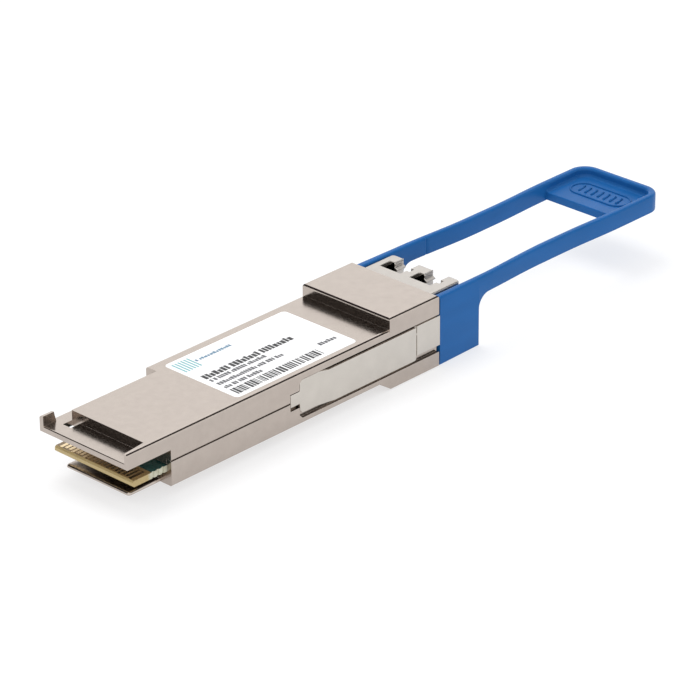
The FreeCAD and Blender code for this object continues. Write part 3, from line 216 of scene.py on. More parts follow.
def ink(name, colour, coverage):
    """Thermal print: the colour breaks up slightly, as ribbon ink does."""
    material, tree, shader = new_material(name)
    place = millimetres(tree)
    gaps = spread(tree, noise(tree, place, per_mm=7), 0, 1, start=0.55, end=0.8)
    faded = tuple(1 - (1 - channel) * coverage for channel in colour)
    tree.links.new(blend_colours(tree, gaps, colour, faded), shader.inputs["Base Color"])
    tree.links.new(spread(tree, noise(tree, place, per_mm=3), 0.45, 0.6), shader.inputs["Roughness"])
    return material


# ------------------------------------------------------------------ the object's materials

def shell_metal():
    return cast_metal("cast_shell", (0.465, 0.408, 0.365), grain=0.11, roughness=0.19)


def nose_metal():
    return cast_metal("cast_nose", (0.52, 0.49, 0.455), grain=0.14, roughness=0.42)


def slider_steel():
    return sheet_metal("latch_steel", (0.56, 0.525, 0.48), roughness=0.22)


def spring_steel():
    return sheet_metal("spring_steel", (0.55, 0.55, 0.55), roughness=0.3, along=(3, 3, 3))


def turned_steel():
    return sheet_metal("turned_steel", (0.62, 0.61, 0.60), roughness=0.25, along=(9, 0.5, 0.5))


def screw_steel():
    return sheet_metal("screw_steel", (0.34, 0.33, 0.33), roughness=0.35, along=(2, 2, 9))


def package_gold():
    return sheet_metal("gold_can", (0.78, 0.58, 0.30), roughness=0.32, along=(1, 1, 6))


def contact_gold():
    """Hard gold plate with fine rubbing lines along the way the card slides in."""
    return sheet_metal("contact_gold", (0.78, 0.62, 0.38), roughness=0.26, along=(0.3, 14, 14))


def crystal_can():
    return sheet_metal("crystal_can", (0.68, 0.66, 0.62), roughness=0.3, along=(1, 4, 4))


def tab_plastic():
    return moulded_plastic("tab_blue", (0.012, 0.112, 0.345), roughness=0.34, grain=0.12, gloss=0.12)


def chip_epoxy():
    return moulded_plastic("chip_epoxy", (0.02, 0.02, 0.022), roughness=0.5)


def inductor_ferrite():
    return moulded_plastic("ferrite", (0.07, 0.07, 0.075), roughness=0.7)


def capacitor_ceramic():
    return moulded_plastic("capacitor_ceramic", (0.36, 0.25, 0.15), roughness=0.45)


def sleeve_zirconia():
    return moulded_plastic("zirconia", (0.82, 0.82, 0.80), roughness=0.2, grain=0.05)


def flex_film():
    return moulded_plastic("flex_film", (0.45, 0.22, 0.05), roughness=0.3, grain=0.05)


def thermal_pad():
    return moulded_plastic("thermal_pad", (0.45, 0.47, 0.52), roughness=0.8)


def seal_rubber():
    return moulded_plastic("seal_rubber", (0.05, 0.05, 0.052), roughness=0.75)


def label_paper():
    """White film label with a trace of fibre in its gloss."""
    material, tree, shader = new_material("label_film")
    fibre = noise(tree, millimetres(tree, (2, 9, 9)), per_mm=1, detail=4)
    cloud = spread(tree, noise(tree, millimetres(tree), per_mm=0.5), 0, 1)
    tone = blend_colours(tree, cloud, (0.93, 0.93, 0.935), (0.97, 0.97, 0.97))
    tree.links.new(tone, shader.inputs["Base Color"])
    tree.links.new(spread(tree, fibre, 0.42, 0.55), shader.inputs["Roughness"])
    bump(tree, shader, fibre, strength=0.05, depth=0.004)
    return material


# How far behind the board's host edge its cut sides turn pale and its green mask starts.
BOARD_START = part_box("circuit_board")[0].x / MM
MILLED_START = BOARD_START + 2.97
MILLED_END = BOARD_START + 3.57
MASK_START = BOARD_START + 3.77
MASK_EDGE = 0.05
UP_FACING = (0.9, 0.95)


def board_weave(tree, place):
    """Bands of glass cloth across the board."""
    weave = add_node(tree, "ShaderNodeTexWave", {"Scale": 1.6, "Distortion": 1.5}, bands_direction="Y")
    tree.links.new(place, weave.inputs["Vector"])
    return weave.outputs["Fac"]


def board_laminate():
    """Glass laminate: green mask behind the edge contacts, brown between them partly darkened with
    painted shade, paler cut sides, and a near-black underside that is painted shade.
    """
    material, tree, shader = new_material("board_laminate")
    place = millimetres(tree)
    weave = board_weave(tree, place)
    cloud = spread(tree, noise(tree, place, per_mm=1.2, detail=4), 0, 1)
    # Brown laminate: partly its own colour, partly painted shade from the shell that overhangs the
    # board's front.
    resin_and_painted_shade = blend_colours(tree, weave, (0.28, 0.175, 0.075), (0.39, 0.26, 0.11))
    mask = blend_colours(tree, cloud, (0.008, 0.07, 0.065), (0.015, 0.10, 0.09))
    cut_side = blend_colours(tree, weave, (0.42, 0.31, 0.13), (0.53, 0.41, 0.19))
    milled_side = blend_colours(tree, cloud, (0.50, 0.49, 0.37), (0.62, 0.61, 0.49))
    # Painted shade: the underside is near-black brown, so the metal below the board reflects it dark.
    painted_underside_shade = blend_colours(tree, cloud, (0.03, 0.02, 0.015), (0.06, 0.04, 0.025))
    split = add_node(tree, "ShaderNodeSeparateXYZ")
    tree.links.new(place, split.inputs["Vector"])
    along = split.outputs["X"]
    milled = spread(tree, along, 0, 1, start=MILLED_START, end=MILLED_END)
    masked = spread(tree, along, 0, 1, start=MASK_START, end=MASK_START + MASK_EDGE)
    side = blend_colours(tree, milled, cut_side, milled_side)
    face = blend_colours(tree, masked, resin_and_painted_shade, mask)
    normal = add_node(tree, "ShaderNodeNewGeometry")
    facing = add_node(tree, "ShaderNodeSeparateXYZ")
    tree.links.new(normal.outputs["Normal"], facing.inputs["Vector"])
    upward = spread(tree, facing.outputs["Z"], 0, 1, *UP_FACING)
    # Down-facing faces take the painted underside shade.
    downward = spread(tree, facing.outputs["Z"], 1, 0, -UP_FACING[1], -UP_FACING[0])
    tone = blend_colours(tree, upward, side, face)
    tone = blend_colours(tree, downward, tone, painted_underside_shade)
    tree.links.new(tone, shader.inputs["Base Color"])
    tree.links.new(spread(tree, noise(tree, place, per_mm=3), 0.22, 0.4), shader.inputs["Roughness"])
    bump(tree, shader, weave, strength=0.12, depth=0.01)
    return material


# ------------------------------------------------------------------ mesh helpers

WELD_REACH = 0.002
FLAT_ANGLE = 1.0
HARD_ANGLE = 35.0


def mesh_piece(name, points, faces, material, body, smooth=True):
    """A mesh in millimetres as a piece that rides on a body."""
    mesh = bpy.data.meshes.new(name)
    mesh.from_pydata([tuple(v * MM for v in p) for p in points], [], faces)
    mesh.validate()
    mesh.update()
    if smooth:
        mesh.polygons.foreach_set("use_smooth", [True] * len(mesh.polygons))
    piece = bpy.data.objects.new(name, mesh)
    bpy.context.scene.collection.objects.link(piece)
    mesh.materials.append(material)
    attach(piece, body)
    return piece


def eased(stations, x):
    """The value at x on a smooth line through (place, value) stations."""
    if x <= stations[0][0]:
        return stations[0][1]
    for (x0, v0), (x1, v1) in zip(stations, stations[1:]):
        if x <= x1:
            share = (x - x0) / (x1 - x0)
            return v0 + (v1 - v0) * share * share * (3 - 2 * share)
    return stations[-1][1]


def arc(centre, radius, start, end, steps):
    """Points on an arc in degrees, both ends included."""
    angles = [math.radians(start + (end - start) * n / steps) for n in range(steps + 1)]
    return [(centre[0] + radius * math.cos(a), centre[1] + radius * math.sin(a)) for a in angles]


def strips(rows, width, closed_rows=False, closed_across=False):
    """Quads between consecutive rows of width points each."""
    faces = []
    row_pairs = rows if closed_rows else rows - 1
    across = width if closed_across else width - 1
    for r in range(row_pairs):
        for c in range(across):
            here = r * width
            there = ((r + 1) % rows) * width
            beside = (c + 1) % width
            faces.append((here + c, here + beside, there + beside, there + c))
    return faces


def end_caps(count, width):
    """The two faces that close a tube of count points in rings of width points."""
    return [tuple(reversed(range(width))), tuple(range(count - width, count))]


def mark_creases(piece, angle):
    """Sharp edges where faces turn by more than angle; the rest stays smooth."""
    mesh = piece.data
    limit = math.cos(math.radians(angle))
    faces_of = {}
    for polygon in mesh.polygons:
        for key in polygon.edge_keys:
            faces_of.setdefault(key, []).append(polygon.normal)
    for edge in mesh.edges:
        normals = faces_of.get(edge.key, [])
        edge.use_edge_sharp = len(normals) == 2 and normals[0].dot(normals[1]) < limit


def round_edges(piece, width, segments, angle):
    """Rounds the edges that turn by more than angle, in the geometry."""
    rounds = piece.modifiers.new("edge_rounds", "BEVEL")
    rounds.width = width * MM
    rounds.segments = segments
    rounds.limit_method = "ANGLE"
    rounds.angle_limit = math.radians(angle)
    return rounds


def soften(piece, width, segments=2):
    """Rounds the hard edges of a CAD node and keeps its flat faces flat."""
    join = piece.modifiers.new("join_faces", "WELD")
    join.merge_threshold = WELD_REACH * MM
    flat = piece.modifiers.new("merge_flats", "DECIMATE")
    flat.decimate_type = "DISSOLVE"
    flat.angle_limit = math.radians(FLAT_ANGLE)
    rounds = round_edges(piece, width, segments, HARD_ANGLE)
    rounds.use_clamp_overlap = False
    normals = piece.modifiers.new("flat_normals", "WEIGHTED_NORMAL")
    normals.keep_sharp = True


# ------------------------------------------------------------------ moulded pull tab

TAB_LOW, TAB_HIGH = (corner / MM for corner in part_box("pull_tab"))

# A block on each flank, two arms that draw together at a waist, and a grip end.
BLOCK_LENGTH = 9.15
BLOCK_TAPER = 0.2
BLOCK_LIP = 0.3
BLOCK_CORNER = 0.01
ARM_HEIGHT = 3.05
WAIST_REACH = 24.3
WAIST_LENGTH = 6.5
WAIST_INSET = 0.8
GRIP_REACH = 13.0
GRIP_INSET = 0.43
WALL = 1.19
BLOCK_WALL = 1.17
WAIST_WALL = 1.22
INNER_BLOCK_SHIFT = 0.65
INNER_WAIST_SHIFT = 1.5
OUTER_CORNER = 3.1
INNER_CORNER = 2.1
END_WALL = 1.2
UNDERARM = 2.4
RIM_ROUND = 0.45
FOOT_ROUND = 0.15
SEAM_REACH = 5.65
SEAM_HALF = 0.22
SEAM_DEPTH = 0.14

TAB_START = TAB_LOW.x
TAB_END = TAB_HIGH.x
TAB_TOP = TAB_HIGH.z
BLOCK_LOW = TAB_LOW.z
BLOCK_END = TAB_START + BLOCK_LENGTH
BLOCK_HALF = TAB_HIGH.y - BLOCK_TAPER
ARM_LOW = TAB_TOP - ARM_HEIGHT
WAIST_START = TAB_START + WAIST_REACH
WAIST_END = WAIST_START + WAIST_LENGTH
WAIST_HALF = TAB_HIGH.y - WAIST_INSET
GRIP_START = WAIST_END + GRIP_REACH
GRIP_HALF = TAB_HIGH.y - GRIP_INSET
SEAM_X = BLOCK_END + SEAM_REACH

# Half widths over the arms and between them, as (place, half) stations.
ARM_OUTER = [
    (TAB_START, TAB_HIGH.y),
    (BLOCK_END, BLOCK_HALF),
    (WAIST_START, WAIST_HALF),
    (WAIST_END, WAIST_HALF),
    (GRIP_START, GRIP_HALF),
]
ARM_INNER = [
    (BLOCK_END + INNER_BLOCK_SHIFT, BLOCK_HALF - BLOCK_WALL),
    (WAIST_START + INNER_WAIST_SHIFT, WAIST_HALF - WAIST_WALL),
    (WAIST_END, WAIST_HALF - WALL),
    (GRIP_START, GRIP_HALF - WALL),
]

RIM_STEPS = 6
FOOT_STEPS = 3
UNDERARM_STEPS = 10
CORNER_STEPS = 12
LOOP_CREASE = 40

# Thumb plate inside the grip end, with a raised border and plain ribs on it.
WEB_LENGTH = 10.75
WEB_LIFT = 0.15
WEB_DROP = 1.5
WEB_FILLET = 0.6
WEB_BURIED = 0.4
WEB_CORNER_STEPS = 8
FILLET_STEPS = 6
WEB_CREASE = 25
FRONT_ROUND = 0.25
BORDER_SETBACK = 5.7
BORDER_RADIUS = 2.15
BORDER_HALF = 5.7
BORDER_STEPS = 20
BORDER_WIDTH = 0.34
RIB_WIDTH = 0.42
RIB_COUNT = 7
RIB_PITCH = 1.3
RIB_HALF = 1.0
RIB_LEAN = 0.18
RIDGE_HEIGHT = 0.22
RIDGE_PROFILE = [
    (0.5, -0.2), (0.42, 0.55), (0.2, 0.92), (0.0, 1.0), (-0.2, 0.92), (-0.42, 0.55), (-0.5, -0.2),
]

WEB_START = TAB_END - WEB_LENGTH
WEB_LOW = ARM_LOW + WEB_LIFT
WEB_TOP = TAB_TOP - WEB_DROP


def wall_section(thickness, low, high):
    """Section of the tab's wall as (inset, height) points, rounded at the rim and the foot."""
    rim = RIM_ROUND
    foot = FOOT_ROUND
    return (arc((thickness - foot, low + foot), foot, -90, 0, FOOT_STEPS)
            + arc((thickness - rim, high - rim), rim, 0, 90, RIM_STEPS)
            + arc((rim, high - rim), rim, 90, 180, RIM_STEPS)
            + arc((foot, low + foot), foot, 180, 270, FOOT_STEPS))


def inner_half(x):
    """Half the opening between the arms, with the shallow mould seam across each inner face."""
    seam = max(0.0, 1.0 - abs(x - SEAM_X) / SEAM_HALF)
    return eased(ARM_INNER, x) + SEAM_DEPTH * seam


def arm_stations():
    """(x, underside) pairs along one arm, from the block to where the end corner starts."""
    stations = [(x, BLOCK_LOW) for x in (TAB_START, TAB_START + BLOCK_LIP, BLOCK_END - BLOCK_CORNER)]
    stations += arc((BLOCK_END + UNDERARM, ARM_LOW - UNDERARM), UNDERARM, 180, 90, UNDERARM_STEPS)
    first = BLOCK_END + UNDERARM
    last = TAB_END - OUTER_CORNER
    places = [SEAM_X - SEAM_HALF, SEAM_X, SEAM_X + SEAM_HALF, last]
    places += [first + n for n in range(1, int(last - first))]
    stations += [(x, ARM_LOW) for x in sorted(places)]
    return stations


def loop_stations():
    """(outer point, inner point, underside) round the whole loop, near arm first."""
    near = [((x, -eased(ARM_OUTER, x)), (x, -inner_half(x)), low) for x, low in arm_stations()]
    outer_centre = (TAB_END - OUTER_CORNER, OUTER_CORNER - eased(ARM_OUTER, TAB_END))
    inner_centre = (TAB_END - END_WALL - INNER_CORNER, INNER_CORNER - inner_half(TAB_END))
    outer = arc(outer_centre, OUTER_CORNER, -90, 0, CORNER_STEPS)
    inner = arc(inner_centre, INNER_CORNER, -90, 0, CORNER_STEPS)
    near += [(o, i, ARM_LOW) for o, i in zip(outer, inner)][1:]
    far = [((o[0], -o[1]), (i[0], -i[1]), low) for o, i, low in reversed(near)]
    return near + far


def tab_loop(material):
    """The tab's wall, swept from the near block round the grip end to the far block."""
    points = []
    stations = loop_stations()
    for outer, inner, low in stations:
        across = (inner[0] - outer[0], inner[1] - outer[1])
        thickness = math.hypot(*across)
        section = wall_section(thickness, low, TAB_TOP)
        for inset, height in section:
            share = inset / thickness
            points.append((outer[0] + across[0] * share, outer[1] + across[1] * share, height))
    width = len(section)
    faces = strips(len(stations), width, closed_across=True) + end_caps(len(points), width)
    piece = mesh_piece("tab_loop", points, faces, material, "latch")
    mark_creases(piece, LOOP_CREASE)
    return piece


def web_path(inset):
    """Plan of the thumb plate's edge along the near arm, round the end and back, moved inwards."""
    half = GRIP_HALF - WALL
    end = TAB_END - END_WALL
    centre = (end - INNER_CORNER, INNER_CORNER - half)
    near = [(WEB_START, inset - half)] + arc(centre, INNER_CORNER - inset, -90, 0, WEB_CORNER_STEPS)
    return near + [(x, -y) for x, y in reversed(near)]


def grip_web(material):
    """The thumb plate inside the loop's end, blended into the wall by a concave fillet."""
    buried = web_path(-WEB_BURIED)
    rows = [[(x, y, height) for x, y in buried] for height in (WEB_LOW, WEB_TOP + WEB_FILLET)]
    for n in range(FILLET_STEPS + 1):
        angle = math.radians(90 * n / FILLET_STEPS)
        inset = WEB_FILLET * (1 - math.cos(angle))
        height = WEB_TOP + WEB_FILLET * (1 - math.sin(angle))
        rows.append([(x, y, height) for x, y in web_path(inset)])
    width = len(rows[0])
    points = [point for row in rows for point in row]
    front = [r * width for r in range(len(rows))]
    back = [start + width - 1 for start in reversed(front)]
    faces = strips(len(rows), width) + end_caps(len(points), width)
    faces.append(tuple(front + back))
    piece = mesh_piece("tab_grip_web", points, faces, material, "latch")
    mark_creases(piece, WEB_CREASE)
    round_edges(piece, FRONT_ROUND, segments=3, angle=60)


def raised_line(path, width, closed):
    """A rounded ridge that follows plan points on the thumb plate, as (points, faces)."""
    count = len(path)
    points = []
    for n, (x, y) in enumerate(path):
        before = path[n - 1] if closed or n else path[n]
        after = path[(n + 1) % count] if closed or n < count - 1 else path[n]
        run = (after[0] - before[0], after[1] - before[1])
        length = math.hypot(*run)
        for across, up in RIDGE_PROFILE:
            shift = across * width / length
            points.append((x - run[1] * shift, y + run[0] * shift, WEB_TOP + up * RIDGE_HEIGHT))
    faces = strips(count, len(RIDGE_PROFILE), closed_rows=closed, closed_across=True)
    if not closed:
        faces += end_caps(len(points), len(RIDGE_PROFILE))
    return points, faces


def grip_marks(material):
    """The raised border and the plain ribs inside it."""
    middle = TAB_END - BORDER_SETBACK
    straight = BORDER_HALF - BORDER_RADIUS
    border = (arc((middle, straight), BORDER_RADIUS, 0, 180, BORDER_STEPS)
              + arc((middle, -straight), BORDER_RADIUS, 180, 360, BORDER_STEPS))
    shapes = [raised_line(border, BORDER_WIDTH, closed=True)]
    for n in range(RIB_COUNT):
        y = RIB_PITCH * (n - (RIB_COUNT - 1) / 2)
        rib = [(middle - RIB_HALF, y - RIB_LEAN), (middle + RIB_HALF, y + RIB_LEAN)]
        shapes.append(raised_line(rib, RIB_WIDTH, closed=False))
    points = []
    faces = []
    for shape_points, shape_faces in shapes:
        base = len(points)
        points += shape_points
        faces += [tuple(base + n for n in face) for face in shape_faces]
    mesh_piece("tab_grip_marks", points, faces, material, "latch")


def build_pull_tab():
    material = tab_plastic()
    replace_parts(tab_loop(material), "pull_tab")
    grip_web(material)
    grip_marks(material)


# ------------------------------------------------------------------ return springs

SPRING_WIRE = 0.1
SPRING_TURNS = 9
TURN_STEPS = 20
WIRE_SIDES = 8


def coil_points(start, reach, middle, radius):
    """Rings of points round the wire, from one end of the coil to the other."""
    points = []
    steps = SPRING_TURNS * TURN_STEPS
    along = Vector((1, 0, 0))
    for n in range(steps + 1):
        turn = 2 * math.pi * n / TURN_STEPS
        outward = Vector((0, math.sin(turn), -math.cos(turn)))
        centre = Vector((start + reach * n / steps, middle.y, middle.z)) + outward * radius
        for corner in range(WIRE_SIDES):
            angle = 2 * math.pi * corner / WIRE_SIDES
            points.append(centre + (outward * math.cos(angle) - along * math.sin(angle)) * SPRING_WIRE)
    return points


def spring_coil(side, material):
    """A coiled return spring in place of the rigid CAD one."""
    node = "return_spring_" + side
    low, high = (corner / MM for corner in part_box(node))
    middle = (low + high) / 2
    length = high.x - low.x
    radius = (high.z - low.z) / 2 - SPRING_WIRE
    points = coil_points(low.x + SPRING_WIRE, length - 2 * SPRING_WIRE, middle, radius)
    faces = strips(len(points) // WIRE_SIDES, WIRE_SIDES, closed_across=True)
    faces += end_caps(len(points), WIRE_SIDES)
    piece = mesh_piece("spring_coil_" + side, points, faces, material, "module")
    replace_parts(piece, node)
    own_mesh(piece)


def build_springs():
    material = spring_steel()
    for side in ("tx_side", "rx_side"):
        spring_coil(side, material)


# ------------------------------------------------------------------ label print

LABEL_LOW, LABEL_HIGH = (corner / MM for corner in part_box("label"))
PRINT_LIFT = 0.012
PRINT_SEED = 7
BAR_MODULE = 0.16
BAR_WIDTHS = (1, 2, 2, 3)
BAR_GAPS = (1, 1, 1, 2)

# Widths and gaps of the blocks as shares of a cell, and drops as shares of a row's height.
BLOCK_WIDTHS = (0.62, 0.74, 0.86)
BLOCK_DROPS = (0.0, 0.0, 0.24)
BLOCK_GAP = 0.2
WORD_GAP = 0.62
WORD_CHANCE = 0.12

# Rows of print as (start, end, foot, height), measured from the label's low corner.
BARS_ROW = (1.1, 19.2, 0.8, 1.95)
HEADING_ROW = (1.2, 19.8, 7.55, 1.4)
SMALL_ROWS = [(1.2, 12.9, 6.35, 0.85), (1.2, 15.2, 4.8, 0.85), (1.1, 9.4, 3.35, 0.85)]
COUNT_ROW = (20.7, 24.7, 3.0, 0.9)
CAPTION_ROW = (4.4, 12.0, 12.85, 0.65)
PATCH_PLACE = (0.8, 11.4)
PATCH_SIDE = 3.3
PATCH_STRIPES = 6


def upright(x0, x1, y0, y1):
    """A rectangle's corners, moved from the label's low corner into the frame."""
    return [(LABEL_LOW.x + x, LABEL_LOW.y + y) for x, y in ((x0, y0), (x1, y0), (x1, y1), (x0, y1))]


def flat_print(name, shapes, material):
    """Ink as thin raised films; each shape is a plan outline."""
    points = []
    faces = []
    for outline in shapes:
        base = len(points)
        count = len(outline)
        for height in (LABEL_HIGH.z, LABEL_HIGH.z + PRINT_LIFT):
            points += [(x, y, height) for x, y in outline]
        ring = strips(2, count, closed_across=True) + end_caps(2 * count, count)
        faces += [tuple(base + n for n in face) for face in ring]
    mesh_piece(name, points, faces, material, "module", smooth=False)


def bar_pattern(source, row):
    """Bars of 1 to 3 modules with gaps of 1 or 2 modules between them."""
    start, end, foot, height = row
    bars = []
    x = start
    while x < end:
        width = BAR_MODULE * source.choice(BAR_WIDTHS)
        bars.append(upright(x, min(x + width, end), foot, foot + height))
        x += width + BAR_MODULE * source.choice(BAR_GAPS)
    return bars


def print_blocks(source, row, cell):
    """Solid blocks that stand for a line of print; none has the shape of a letter."""
    start, end, foot, height = row
    blocks = []
    x = start
    while x < end - cell:
        width = cell * source.choice(BLOCK_WIDTHS)
        top = foot + height - height * source.choice(BLOCK_DROPS)
        blocks.append(upright(x, x + width, foot, top))
        ends_word = source.random() < WORD_CHANCE
        x += width + cell * (WORD_GAP if ends_word else BLOCK_GAP)
    return blocks


def patch_mark():
    """A square of upright stripes, a plain decoration in the corner."""
    left, foot = PATCH_PLACE
    pitch = PATCH_SIDE / (PATCH_STRIPES - 0.5)
    starts = [left + n * pitch for n in range(PATCH_STRIPES)]
    return [upright(start, start + pitch / 2, foot, foot + PATCH_SIDE) for start in starts]


def build_label():
    set_material(NODES["label"], label_paper())
    source = random.Random(PRINT_SEED)
    black = ink("print_black", (0.012, 0.012, 0.014), coverage=0.85)
    grey = ink("print_grey", (0.10, 0.10, 0.11), coverage=0.85)
    teal = ink("print_teal", (0.20, 0.46, 0.49), coverage=0.8)
    blue = ink("print_blue", (0.10, 0.22, 0.33), coverage=0.8)
    flat_print("label_bars", bar_pattern(source, BARS_ROW), black)
    flat_print("label_heading", print_blocks(source, HEADING_ROW, cell=0.82), black)
    small = [block for row in SMALL_ROWS for block in print_blocks(source, row, cell=0.56)]
    flat_print("label_small_print", small, grey)
    flat_print("label_count", print_blocks(source, COUNT_ROW, cell=0.66), grey)
    flat_print("label_caption", print_blocks(source, CAPTION_ROW, cell=0.62), blue)
    flat_print("label_patch", patch_mark(), teal)


# ------------------------------------------------------------------ the CAD nodes

FINISHES = [
    (shell_metal, ["top_shell", "bottom_shell"]),
    (nose_metal, ["lc_receptacle"]),
    (slider_steel, ["latch_slider"]),
    (turned_steel, ["tx_barrel", "rx_barrel", "barrel_clamp"]),
    (package_gold, ["transmitter_package", "receiver_package"]),
    (crystal_can, ["oscillator"]),
    (screw_steel, ["housing_screws", "clamp_screw"]),
    (chip_epoxy, ["retimer_chip", "controller_chip", "receive_amplifier_chip", "laser_driver_chip"]),
    (inductor_ferrite, ["power_inductors"]),
    (capacitor_ceramic, ["capacitors"]),
    (sleeve_zirconia, ["tx_sleeve", "rx_sleeve", "tx_fibre_stub", "rx_fibre_stub"]),
    (flex_film, ["tx_flex", "rx_flex"]),
    (thermal_pad, ["retimer_thermal_pad", "tx_thermal_pad", "rx_thermal_pad"]),
    (seal_rubber, ["shell_gaskets", "nose_gaskets"]),
    (board_laminate, ["circuit_board"]),
    (contact_gold, ["contacts_top", "contacts_bottom"]),
]
SHELL_ROUND = 0.015
NOSE_ROUND = 0.12
SLIDER_ROUND = 0.05


def set_material(node, material):
    node.data.materials.clear()
    node.data.materials.append(material)


def finish_nodes():
    for make_material, names in FINISHES:
        material = make_material()
        for name in names:
            set_material(NODES[name], material)
    soften(NODES["top_shell"], SHELL_ROUND)
    soften(NODES["bottom_shell"], SHELL_ROUND)
    soften(NODES["lc_receptacle"], NOSE_ROUND, segments=3)
    soften(NODES["latch_slider"], SLIDER_ROUND)


# ------------------------------------------------------------------ floor

FLOOR_GAP = 0.02
FLOOR_REACH = 1600
FLOOR_WHITE = (0.42, 0.42, 0.42)
FLOOR_GLOW = (0.60, 0.60, 0.605)


def see_through_from_below(tree, shader):
    """Lets a camera under the floor see the object's underside."""
    side = add_node(tree, "ShaderNodeNewGeometry")
    clear = add_node(tree, "ShaderNodeBsdfTransparent")
    either = add_node(tree, "ShaderNodeMixShader")
    tree.links.new(side.outputs["Backfacing"], either.inputs[0])
    tree.links.new(shader.outputs["BSDF"], either.inputs[1])
    tree.links.new(clear.outputs["BSDF"], either.inputs[2])
    tree.links.new(either.outputs["Shader"], tree.nodes["Material Output"].inputs["Surface"])


def floor_white():
    """A matt white that glows a little, so that shadows on it stay soft and light."""
    material, tree, shader = new_material("floor_white")
    cloud = noise(tree, millimetres(tree), per_mm=0.01)
    tone = cloudy(tree, cloud, FLOOR_WHITE, dark=0.99, light=1.01)
    tree.links.new(tone, shader.inputs["Base Color"])
    shader.inputs["Roughness"].default_value = 0.9
    shader.inputs["Specular IOR Level"].default_value = 0.0
    shader.inputs["Emission Color"].default_value = (*FLOOR_GLOW, 1)
    shader.inputs["Emission Strength"].default_value = 1.0
    see_through_from_below(tree, shader)
    return material


def build_floor():
    """A pale square sheet just under the object."""
    level = CAD_BOX[0].z - FLOOR_GAP * MM
    reach = FLOOR_REACH * MM
    plan = [(-reach, -reach), (reach, -reach), (reach, reach), (-reach, reach)]
    corners = [(x, y, level) for x, y in plan]
    mesh = bpy.data.meshes.new("floor")
    mesh.from_pydata(corners, [], [(0, 1, 2, 3)])
    mesh.materials.append(floor_white())
    floor = bpy.data.objects.new("floor", mesh)
    bpy.context.scene.collection.objects.link(floor)


# ------------------------------------------------------------------ camera

# Angles in degrees; the shifts move the camera sideways and up from the line to the box's middle.
CAMERA_AZIMUTH = -46.252
CAMERA_ELEVATION = 26.304
CAMERA_ROLL = -0.517
CAMERA_DISTANCE = 583.449
CAMERA_SHIFT_RIGHT = -3.226
CAMERA_SHIFT_UP = -3.856
CAMERA_LENS = 195.05
SENSOR_WIDTH = 36.0
NEAREST_SEEN = 10
FARTHEST_SEEN = 10000


def camera_axes():
    """Right, up and back directions of the camera."""
    azimuth, elevation, roll = (math.radians(v) for v in (CAMERA_AZIMUTH, CAMERA_ELEVATION, CAMERA_ROLL))
    level_back = Vector((math.sin(azimuth), -math.cos(azimuth), 0))
    back = level_back * math.cos(elevation) + Vector((0, 0, 1)) * math.sin(elevation)
    level = (-back).cross(Vector((0, 0, 1))).normalized()
    rise = level.cross(-back)
    right = level * math.cos(roll) + rise * math.sin(roll)
    up = rise * math.cos(roll) - level * math.sin(roll)
    return right, up, back


def build_camera():
    data = bpy.data.cameras.new("camera")
    data.lens = CAMERA_LENS
    data.sensor_width = SENSOR_WIDTH
    data.clip_start = NEAREST_SEEN * MM
    data.clip_end = FARTHEST_SEEN * MM
    camera = bpy.data.objects.new("camera", data)
    right, up, back = camera_axes()
    shift = back * CAMERA_DISTANCE + right * CAMERA_SHIFT_RIGHT + up * CAMERA_SHIFT_UP
    matrix = Matrix((right, up, back)).transposed().to_4x4()
    matrix.translation = (CAD_BOX[0] + CAD_BOX[1]) / 2 + shift * MM
    camera.matrix_world = matrix
    bpy.context.scene.collection.objects.link(camera)
    bpy.context.scene.camera = camera


# ------------------------------------------------------------------ light

TENT_WHITE = (0.92, 0.92, 0.925)
SWEEP_WHITE = (1.33, 1.33, 1.33)
CEILING_WHITE = (1.6, 1.6, 1.62)
CEILING_EDGE = (0.50, 0.80)
FLAG_BLACK = (0.030, 0.026, 0.024)

# Each black flag as its direction and its outer and inner angle in degrees.
FLAGS = [((0.65, -0.42, 0.63), (26, 21)), ((-0.50, 0.62, 0.60), (34, 27))]

LAMP_WATTS = 1.6
LAMP_SIZE = 360
LAMP_PLACE = (90, 250, 650)
LAMP_AIM = (60, 0, 0)


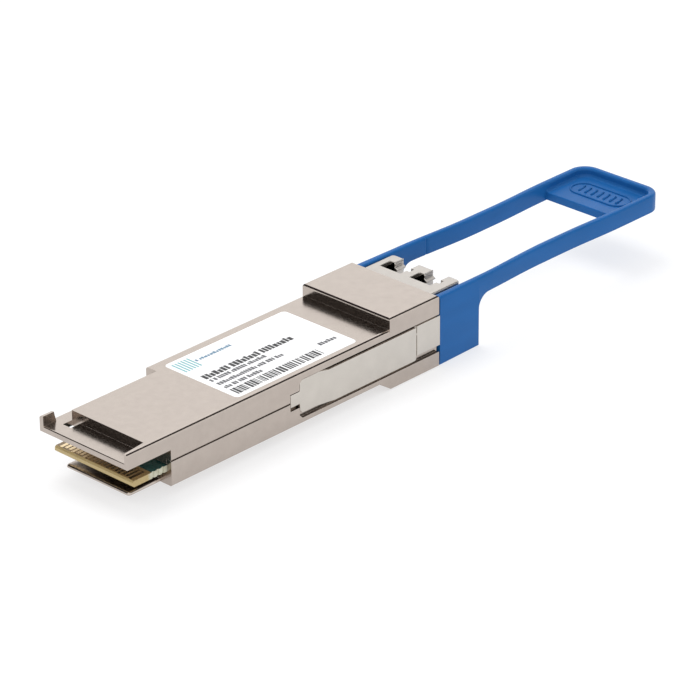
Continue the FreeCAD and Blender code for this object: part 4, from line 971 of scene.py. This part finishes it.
def direction_share(tree, direction, axis, start, end):
    """0 to 1 as the direction turns towards an axis."""
    dot = add_node(tree, "ShaderNodeVectorMath", operation="DOT_PRODUCT")
    tree.links.new(direction, dot.inputs[0])
    dot.inputs[1].default_value = axis
    node = add_node(tree, "ShaderNodeMapRange", {"From Min": start, "From Max": end},
                    interpolation_type="SMOOTHSTEP")
    tree.links.new(dot.outputs["Value"], node.inputs["Value"])
    return node.outputs["Result"]


def black_flag(tree, direction, towards, angles):
    """1 inside a round black card that hangs in a direction, 0 outside it; angles in degrees."""
    outer, inner = (math.cos(math.radians(angle)) for angle in angles)
    return direction_share(tree, direction, Vector(towards).normalized(), outer, inner)


def build_world():
    """An even white tent for soft light; reflections also see a brighter top and two black flags."""
    world = bpy.data.worlds.new("studio")
    world.use_nodes = True
    tree = world.node_tree
    direction = add_node(tree, "ShaderNodeTexCoord").outputs["Generated"]
    ceiling = direction_share(tree, direction, (0, 0, 1), *CEILING_EDGE)
    seen = blend_colours(tree, ceiling, SWEEP_WHITE, CEILING_WHITE)
    for towards, angles in FLAGS:
        seen = blend_colours(tree, black_flag(tree, direction, towards, angles), seen, FLAG_BLACK)
    path = add_node(tree, "ShaderNodeLightPath")
    colour = blend_colours(tree, path.outputs["Is Glossy Ray"], TENT_WHITE, seen)
    tree.links.new(colour, tree.nodes["Background"].inputs["Color"])
    bpy.context.scene.world = world


def build_lamp():
    """A soft square lamp overhead that casts the shadow and isn't seen in reflections."""
    data = bpy.data.lights.new("overhead", "AREA")
    data.shape = "RECTANGLE"
    data.size = LAMP_SIZE * MM
    data.size_y = LAMP_SIZE * MM
    data.energy = LAMP_WATTS
    lamp = bpy.data.objects.new("overhead", data)
    lamp.location = Vector(LAMP_PLACE) * MM
    lamp.visible_glossy = False
    aim = Vector(LAMP_AIM) - Vector(LAMP_PLACE)
    lamp.rotation_mode = "QUATERNION"
    lamp.rotation_quaternion = aim.to_track_quat("-Z", "Y")
    bpy.context.scene.collection.objects.link(lamp)


# ------------------------------------------------------------------ the scene


bpy.context.scene.view_settings.view_transform = "Standard"
finish_nodes()
build_pull_tab()
build_springs()
build_label()
build_floor()
build_camera()
build_world()
build_lamp()
